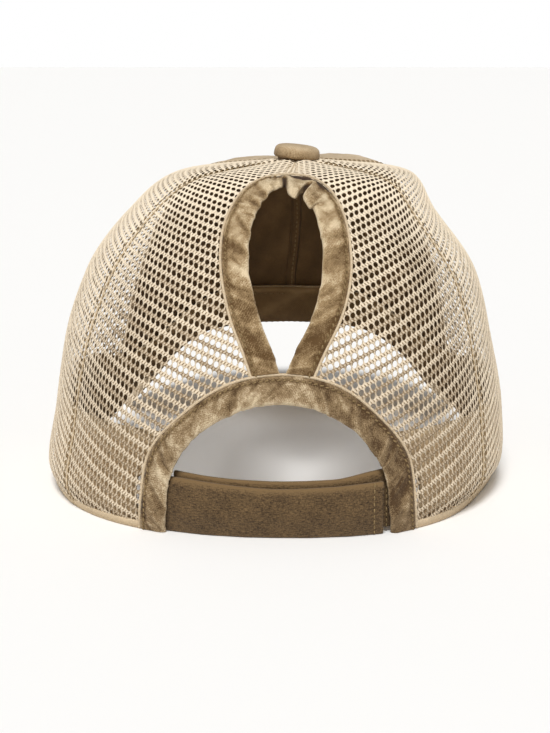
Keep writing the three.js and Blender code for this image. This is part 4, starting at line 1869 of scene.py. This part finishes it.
@dataclass
class Strap:
    """A layer of the overlapping strap."""

    name: str
    crown: Crown
    bottom: float
    rows: tuple[StrapRow, ...]
    stitched_ends: tuple[float, ...]
    height: float = 20.0
    thickness: float = 1.9
    gap: float = 0.5
    leg_depth: float = 1.9
    stations: int = 150

    def _place(self, side: Array, rise: Array, inward: Array) -> Array:
        """Points of the strap.

        Args:
            side: Shares of the arch's half width.
            rise: Shares of the strap's height.
            inward: Distances behind its outer face.

        Returns:
            The points.
        """
        crown = self.crown
        sides = [row.side for row in self.rows]
        top_at = MonotoneCurve(sides, [row.top for row in self.rows])
        behind = MonotoneCurve(sides, [row.behind for row in self.rows])
        under = MonotoneCurve(sides, [row.under for row in self.rows])
        out = -self.leg_depth * behind(side) - (self.thickness + self.gap) * under(side) - inward
        level = self.bottom + self.height * top_at(side) * rise
        share = crown.curves["share_at_up"](level / crown.height)
        angle = crown.angle_at_side(side * ARCH.half_width, share)
        spot = crown.base(angle, share)
        level_out = np.stack([np.sin(angle), -np.cos(angle), np.zeros_like(angle)], axis=-1)
        spot += level_out * out[..., None]
        spot[..., 2] = level
        return spot

    def build(self, finishes: Finishes) -> None:
        """Builds the strap and its stitches.

        Args:
            finishes: The cap's finishes.
        """
        face = np.concatenate([[0.0, 0.02], np.linspace(0.06, 0.94, 12), [0.98, 1.0]])
        rounded = np.where((face < 0.05) | (face > 0.95), 0.1, 0.0)
        inward = np.where((face < 0.01) | (face > 0.99), 0.45, rounded)
        rise = np.concatenate([face, face[::-1]])
        depth = np.concatenate([inward, self.thickness - inward[::-1]])
        side = np.linspace(self.rows[0].side, self.rows[-1].side, self.stations)[:, None]
        side, rise = np.broadcast_arrays(side, rise)
        wave = 0.12 * np.sin(side * 21 + rise * 5) * np.sin(rise * 9 + side * 4)
        rings = self._place(side, rise, depth + wave)
        places = np.stack([side * ARCH.half_width, rise * self.height], axis=-1)
        edge = np.exp(-(((rise - 1) / 0.07) ** 2)) + 0.3 * np.exp(-((rise / 0.04) ** 2))
        piece = Piece(f"{self.name}_web")
        add_strip(piece, rings, places, edge * 1.5 + wave * 1.5)
        piece.finish("strap_web", [finishes.strap], [self.name])
        stitches = Piece(f"{self.name}_stitches")
        rises = np.linspace(0.04, 0.96, 24)
        for place in self.stitched_ends:
            sides = np.full_like(rises, place)
            row = self._place(sides, rises, np.full_like(rises, -0.05))
            above = self._place(sides, rises, np.full_like(rises, -1.0))
            add_stitches(stitches, row, unit(above - row), pitch=2.2)
        stitches.finish("strap_web", [finishes.thread])


@dataclass
class Sweatband:
    """The folded band inside the rim."""

    crown: Crown
    thickness: float = 1.3
    slack: float = 1.1
    low_share: float = 0.012
    high_share: float = 0.21
    rear_rise: float = 0.07
    end_gap: float = 1.5
    tuck: float = 13.0
    brim_clearance: float = 3.9
    rows: int = 18
    columns: int = 260

    def _place(self, turn: Array, rise: Array, inward: Array) -> Array:
        """Points of the band.

        Args:
            turn: Angles in radians.
            rise: Shares of the band's height.
            inward: Distances inside its outer face.

        Returns:
            The points.
        """
        crown = self.crown
        high = self.high_share + self.rear_rise * smoothstep(0.6, 1.3, np.abs(turn - math.pi))
        share = self.low_share + (high - self.low_share) * rise**1.3
        spot = crown.point(turn, share, -crown.wall - self.slack - inward)
        over = smoothstep(0.3, 0.6, crown.base(turn, 0.0)[..., 2] / crown.brim_height)
        spot[..., 2] -= over * self.brim_clearance * (1 - rise)
        return spot

    def build(self, finishes: Finishes) -> None:
        """Builds the band and its rows of stitches.

        Args:
            finishes: The cap's finishes.
        """
        crown = self.crown
        rise = np.linspace(0, 1, self.rows)
        foot = ARCH.half_width + self.end_gap - self.tuck * smoothstep(0.6, 0.95, rise)
        level = np.zeros(self.rows)
        start = crown.angle_at_side(foot, level)[:, None]
        end = 2 * math.pi + crown.angle_at_side(-foot, level)[:, None]
        rise, way = np.meshgrid(rise, np.linspace(0, 1, self.columns), indexing="ij")
        turn = start + (end - start) * way
        buckle = 0.3 * np.sin(turn * 13) * np.sin(rise * 6 + turn * 3) * smoothstep(0.2, 0.7, rise)
        crease = 0.55 * np.exp(-(((turn - math.pi - 0.14 + (rise - 0.5) * 0.5) / 0.05) ** 2))
        roll = 0.3 * np.exp(-(((rise - 0.93) / 0.07) ** 2))
        bulge = np.maximum(buckle, -0.2) + crease + roll
        outer = self._place(turn, rise, np.maximum(bulge * 0.4, 0))
        inner = self._place(turn, rise, self.thickness + bulge)
        faces, look = shell_faces(self.rows, self.columns)
        places = np.stack([turn * RIM_REACH, rise * BAND_HEIGHT], axis=-1)
        edge = np.exp(-(((rise - 0.96) / 0.05) ** 2))
        # Paler along the rolled top edge and over the diagonal crease, partly rubbed cloth and partly
        # painted highlight on these folds.
        wear = np.stack([edge * 0.6, edge * 1.1 + crease * 1.2])
        piece = Piece("sweatband_cloth")
        piece.add(np.stack([outer, inner]), faces, np.stack([places, places]), wear, look)
        # The outer face takes the lighter painted-light copy of the band's cloth, the inner face the
        # darker painted-shade copy.
        piece.finish("band_cloth", [finishes.band_outer_lit, finishes.band], ["sweatband"])
        stitches = Piece("sweatband_stitches")
        turns = np.linspace(start[0, 0] + 0.02, end[0, 0] - 0.02, 400)
        for height, lift in ((0.88, 0.25), (0.12, 0.05)):
            rises = np.full_like(turns, height)
            depths = np.full_like(turns, self.thickness + lift)
            row = self._place(turns, rises, depths)
            above = self._place(turns, rises, depths + 1.0)
            add_stitches(stitches, row, unit(above - row), pitch=2.6, radius=0.24)
        stitches.finish("band_cloth", [finishes.thread])


@dataclass
class Brim:
    """The curved brim with its rows of stitches."""

    crown: Crown
    join_half_width: float = 64.0
    reach: float = 70.0
    side_reach: float = 8.0
    thickness: float = 3.2
    nose: float = 1.1
    tuck: float = 1.2
    gap: float = 0.7
    rows: int = 57
    stations: int = 121
    stitch_rows: int = 8

    def _rim_y(self, x: Array) -> Array:
        """How far forward the crown's rim lies.

        Args:
            x: Places to the side.

        Returns:
            The places towards the front.
        """
        crown = self.crown
        side = x - crown.lean * crown.curves["lean"](0.0)
        reach = np.where(side >= 0, crown.curves["right"](0.0), crown.curves["left"](0.0))
        across = crown.half_width * reach - self.tuck
        square = crown.curves["square"](0.0)
        share = np.minimum(np.abs(side) / across, 0.999) ** square
        depth = crown.front_depth * crown.curves["front"](0.0) - self.tuck
        return depth * (1 - share) ** (1 / square)

    def place(self, turn: Array, forward: Array, depth: Array) -> Array:
        """Points of the brim.

        Args:
            turn: Shares across it, -1 to 1.
            forward: Shares of the way from the crown to its front edge.
            depth: Distances below its upper face.

        Returns:
            The points.
        """
        crown = self.crown
        turn, forward, depth = np.broadcast_arrays(turn, forward, depth)
        sweep, bow = np.sin(np.pi / 2 * turn), np.cos(np.pi / 2 * turn)
        near_x = crown.brim_shift + self.join_half_width * sweep
        near_y = self._rim_y(near_x)
        far_x = crown.brim_shift + crown.brim_half_width * sweep
        far_y = crown.front_depth + self.side_reach + (self.reach - self.side_reach) * bow
        x, y = near_x + (far_x - near_x) * forward, near_y + (far_y - near_y) * forward
        slope = crown.brim_z(x + 0.5, y) - crown.brim_z(x - 0.5, y)
        down = unit(np.stack([slope, np.zeros_like(slope), -np.ones_like(slope)], axis=-1))
        spot = np.stack([x, y, crown.brim_z(x, y) - self.gap], axis=-1) + down * depth[..., None]
        spot[..., 2] = np.maximum(spot[..., 2], self.thickness - depth)
        return spot

    def build(self, finishes: Finishes) -> None:
        """Builds the brim and its stitches.

        Args:
            finishes: The cap's finishes.
        """
        forward = np.linspace(0, 1, self.rows)
        quilt = 0.22 * (1 - np.abs(np.sin(np.pi * forward * self.stitch_rows)) ** 0.5)
        edge = np.exp(-(((forward - 1) / 0.012) ** 2)) * 0.5
        top = np.stack([forward, quilt + edge * 1.2], axis=-1)
        under = np.stack([forward, self.thickness - quilt - edge * 1.2], axis=-1)[::-1]
        section = np.concatenate([top, under])
        turn = np.linspace(-1, 1, self.stations)[:, None]
        rings = self.place(turn, section[:, 0], section[:, 1])
        core = np.array([1.6])
        ahead = unit(self.place(turn, np.array([1.0]), core) - self.place(turn, np.array([0.95]), core))
        ahead[..., 2] = 0
        front_edge = np.exp(-(((section[:, 0] - 1) / 0.01) ** 2))
        rings = rings + ahead * (front_edge * self.nose * 0.6)[None, :, None]
        run = section[:, 0] * self.reach
        places = np.stack(np.broadcast_arrays(turn * BRIM_HALF_ROUND, run[None]), axis=-1)
        ridges = (0.11 - np.concatenate([quilt, quilt[::-1]])) * 2 + front_edge * 0.8
        wear = np.broadcast_to(ridges, rings.shape[:2])
        piece = Piece("brim_cloth")
        add_strip(piece, rings, places, wear)
        piece.finish("front_cloth", [finishes.front], ["brim"])
        stitches = Piece("brim_stitches")
        turns = np.linspace(-0.985, 0.985, 260)
        for number in range(1, self.stitch_rows):
            shares = np.full_like(turns, number / self.stitch_rows)
            for depth, way in ((0.18, -1.0), (self.thickness - 0.18, 1.0)):
                row = self.place(turns, shares, np.full_like(turns, depth))
                above = self.place(turns, shares, np.full_like(turns, depth + way))
                add_stitches(stitches, row, unit(above - row), pitch=3.0, radius=0.24)
        stitches.finish("front_cloth", [finishes.thread])


@dataclass
class Button:
    """The cloth-covered button at the crown's top."""

    crown: Crown
    radius: float = 8.9
    height: float = 4.2
    tilt: float = 6.0
    gap: float = 0.3
    sink: float = 1.1
    sides: int = 72

    def build(self, finishes: Finishes) -> None:
        """Builds the button.

        Args:
            finishes: The cap's finishes.
        """
        stages = [0, 0.12, 0.2, 0.42, 0.62, 0.8, 1.0]
        profile = MonotoneCurve(stages, [0.93, 1.0, 1.0, 0.97, 0.84, 0.5, 0.0])
        rise = MonotoneCurve(stages, [0.0, 0.16, 0.3, 0.62, 0.86, 0.98, 1.0])
        along = np.linspace(0, 0.985, 26)
        turn = np.linspace(0, 2 * np.pi, self.sides, endpoint=False)
        fold = 0.16 * np.sin(turn * 9 + 1) * np.sin(turn * 5 + 0.4)
        folds = fold[None] * np.exp(-((along / 0.2) ** 2))[:, None]
        reach = profile(along)[:, None] * self.radius + folds
        level = rise(along) * (self.height + self.sink) - self.sink
        neck = np.array([(0.5, -2.3), (0.78, -2.1), (0.85, -self.sink)])
        reach = np.concatenate([np.repeat(neck[:, :1], self.sides, axis=1) * self.radius, reach])
        level = np.broadcast_to(np.concatenate([neck[:, 1], level])[:, None], reach.shape)
        rings = np.stack([reach * np.cos(turn), reach * np.sin(turn), level], axis=-1)
        cosine, sine = math.cos(math.radians(self.tilt)), math.sin(math.radians(self.tilt))
        spin = np.array([[cosine, 0, -sine], [0, 1, 0], [sine, 0, cosine]])
        spots = rings @ spin + [self.crown.lean, 0, self.crown.height + self.gap]
        # Painted shade: the neck under the button is dark, and the button is darker on its lower side
        # and lighter towards its top.
        wear = np.concatenate([[-1.4, -1.4, -1.4], smoothstep(0.1, 0.55, along) * 0.8 - 0.5])
        piece = Piece("button_cover")
        add_strip(piece, spots, rings[..., :2], np.broadcast_to(wear[:, None], rings.shape[:2]))
        piece.finish("button_cloth", [finishes.button], ["button"])


@dataclass
class SeamLines:
    """The ridges of the crown's outside seams, with stitches on both sides."""

    crown: Crown
    ridge: float = 0.42
    sunk: float = 0.12
    beside: float = 1.5
    clear_of_button: float = 14.0
    tape: float = 7.0

    def build(self, finishes: Finishes) -> None:
        """Builds a ridge and its stitches along each seam.

        Args:
            finishes: The cap's finishes.
        """
        crown = self.crown
        seams = {
            "rear_seam_right": (crown.rear_seam, 0.0, finishes.welt, finishes.thread, "net"),
            "rear_seam_left": (-crown.rear_seam, 0.0, finishes.welt, finishes.thread, "net"),
            "front_seam_right": (crown.front_seam, 0.0, finishes.welt, finishes.thread, "net"),
            "front_seam_left": (-crown.front_seam, 0.0, finishes.welt, finishes.thread, "net"),
            "front_seam_middle": (180.0, 0.0, finishes.front, finishes.thread, "front_cloth"),
            "back_seam_middle": (0.0, 0.895, finishes.welt, finishes.pale_thread, "net"),
        }
        for name, (degrees, low, cloth, thread, slot) in seams.items():
            shares = np.linspace(low + 0.004, crown.top_share - 0.008, 150 if low == 0 else 24)
            turn = np.full_like(shares, math.radians(degrees))
            out = crown.outward(turn, shares)
            piece = Piece(name)
            line = crown.point(turn, shares, -self.sunk)
            add_cord(piece, line, out, self.ridge, self.ridge * 0.8)
            piece.finish(slot, [cloth])
            rows = Piece(f"{name}_stitches")
            radius = crown.radius(turn, shares)
            keep = radius > self.clear_of_button
            for way in (-1, 1):
                near = turn + way * self.beside / np.maximum(radius, SMALLEST_RADIUS)
                row = crown.point(near, shares, 0.1)[keep]
                add_stitches(rows, row, out[keep], pitch=2.4, radius=0.2)
            rows.finish(slot, [thread])
        self._tape(finishes)

    def _tape(self, finishes: Finishes) -> None:
        """Adds the tape behind the back seam, above the slot.

        Args:
            finishes: The cap's finishes.
        """
        crown = self.crown
        shares = np.linspace(0.9, crown.top_share - 0.004, 30)[:, None]
        side = np.array([-1.0, -0.5, 0.0, 0.5, 1.0, 1.0, 0.5, 0.0, -0.5, -1.0]) * self.tape
        lift = np.array([-1.3] * 5 + [-1.7] * 5)
        shares, side, lift = np.broadcast_arrays(shares, side, lift)
        reach = np.maximum(crown.radius(np.zeros_like(shares), shares), 5)
        rings = crown.point(np.arctan2(side, reach), shares, lift)
        piece = Piece("back_seam_tape")
        places = np.stack([side, shares * SIDE_HEIGHT], axis=-1)
        add_strip(piece, rings, places, np.full(shares.shape, 0.3))
        piece.finish("net", [finishes.welt])


@dataclass
class Studio:
    """The camera, the table and the lights."""

    camera_place: Triple = (0.013894, -0.638328, 0.1612)
    pitch: float = 11.27
    yaw: float = 1.3
    lens: float = 75.3
    shift: float = -0.0027
    sky: float = 0.26
    horizon: float = 1.0
    sun_elevation: float = 54.0
    sun_bearing: float = -5.0
    sun_spread: float = 18.0
    sun: float = 2.95
    table_reach: float = 40.0
    table_drop: float = 0.0002

    def build(self) -> None:
        """Builds the studio."""
        scene = bpy.context.scene
        scene.view_settings.view_transform = "Standard"
        camera = bpy.data.cameras.new("camera")
        camera.lens = self.lens
        camera.sensor_width = 36
        camera.shift_x = self.shift
        camera.clip_start = 0.02
        holder = bpy.data.objects.new("camera", camera)
        holder.location = self.camera_place
        holder.rotation_euler = (math.radians(90 - self.pitch), 0, math.radians(self.yaw))
        scene.collection.objects.link(holder)
        scene.camera = holder
        self._table()
        self._sky()
        self._sun()

    def _table(self) -> None:
        """Builds the table."""
        mesh = bpy.data.meshes.new("table")
        reach = self.table_reach
        corners = [(-reach, -reach, 0), (reach, -reach, 0), (reach, reach, 0), (-reach, reach, 0)]
        mesh.from_pydata(corners, [], [(0, 1, 2, 3)])
        mesh.materials.append(TableFinish().material())
        table = bpy.data.objects.new("table", mesh)
        bpy.context.scene.collection.objects.link(table)
        table.location.z = -self.table_drop

    def _sky(self) -> None:
        """Fills the world with white light, bright near the horizon and dimmer overhead."""
        world = bpy.data.worlds.new("studio")
        world.use_nodes = True
        nodes, links = world.node_tree.nodes, world.node_tree.links
        place, split = nodes.new("ShaderNodeTexCoord"), nodes.new("ShaderNodeSeparateXYZ")
        ramp = nodes.new("ShaderNodeMapRange")
        ramp.inputs["From Min"].default_value = 0.13
        ramp.inputs["From Max"].default_value = 0.28
        ramp.inputs["To Min"].default_value = self.horizon
        ramp.inputs["To Max"].default_value = self.sky
        links.new(place.outputs["Generated"], split.inputs[0])
        links.new(split.outputs["Z"], ramp.inputs["Value"])
        links.new(ramp.outputs[0], nodes["Background"].inputs["Strength"])
        nodes["Background"].inputs["Color"].default_value = (1, 1, 1, 1)
        bpy.context.scene.world = world

    def _sun(self) -> None:
        """Adds a wide soft sun from above the camera's shoulder."""
        lamp = bpy.data.lights.new("soft_sun", "SUN")
        lamp.energy = self.sun
        lamp.angle = math.radians(self.sun_spread)
        holder = bpy.data.objects.new("soft_sun", lamp)
        tip, bearing = math.radians(90 - self.sun_elevation), math.radians(self.sun_bearing)
        holder.rotation_euler = (tip, 0, bearing)
        bpy.context.scene.collection.objects.link(holder)


def main() -> None:
    """Builds the studio and every piece of the cap."""
    logging.basicConfig(level=logging.INFO, format="%(message)s")
    Studio().build()
    crown = Crown()
    finishes = Finishes()
    FrontPanels(crown).build(finishes)
    NetPanels(crown).build(finishes)
    SeamLines(crown).build(finishes)
    slot_puckers = (
        Pucker(0.455, 0.032, 0.7, 0.5),
        Pucker(0.534, 0.038, 1.85, 0.4),
        Pucker(0.62, 0.036, 1.2, 0.35),
    )
    slot_slits = (Slit(0.488, 0.0085, 1.0, 0.0, 0.62), Slit(0.583, 0.0062, 1.3, -0.02, 0.7))
    slot = Binding(
        "slot_binding", crown, SLOT, 5, slot_puckers, slot_slits, fade=1.0, drift=0.1, gap_shade=2.6
    )
    slot.build("binding_cloth", finishes.slot, finishes)
    arch = Binding("arch_binding", crown, ARCH, seed=8, puffs=20, sweep=0.13, drift=0.9)
    arch.build("binding_cloth", finishes.arch, finishes)
    outer = (
        StrapRow(-0.93, 1.01, 1.05, 0),
        StrapRow(-0.78, 1.01, 0.95, 0),
        StrapRow(-0.41, 0.95, 0.65, 0),
        StrapRow(0, 0.89, 0.45, 0),
        StrapRow(0.41, 0.92, 0.35, 0),
        StrapRow(0.755, 0.965, 0.2, 0),
    )
    inner = (
        StrapRow(-0.78, 1.015, 1.05, 1),
        StrapRow(-0.41, 0.945, 0.75, 1),
        StrapRow(0, 0.915, 0.55, 1),
        StrapRow(0.41, 0.935, 0.45, 1),
        StrapRow(0.755, 1.065, 0.45, 0.9),
        StrapRow(0.95, 1.1, 1.2, 0),
    )
    Strap("strap_outer", crown, 0.0, outer, stitched_ends=(0.69,)).build(finishes)
    Strap("strap_inner", crown, 1.5, inner, stitched_ends=(0.8,)).build(finishes)
    Sweatband(crown).build(finishes)
    Brim(crown).build(finishes)
    Button(crown).build(finishes)


if __name__ == "__main__":
    main()
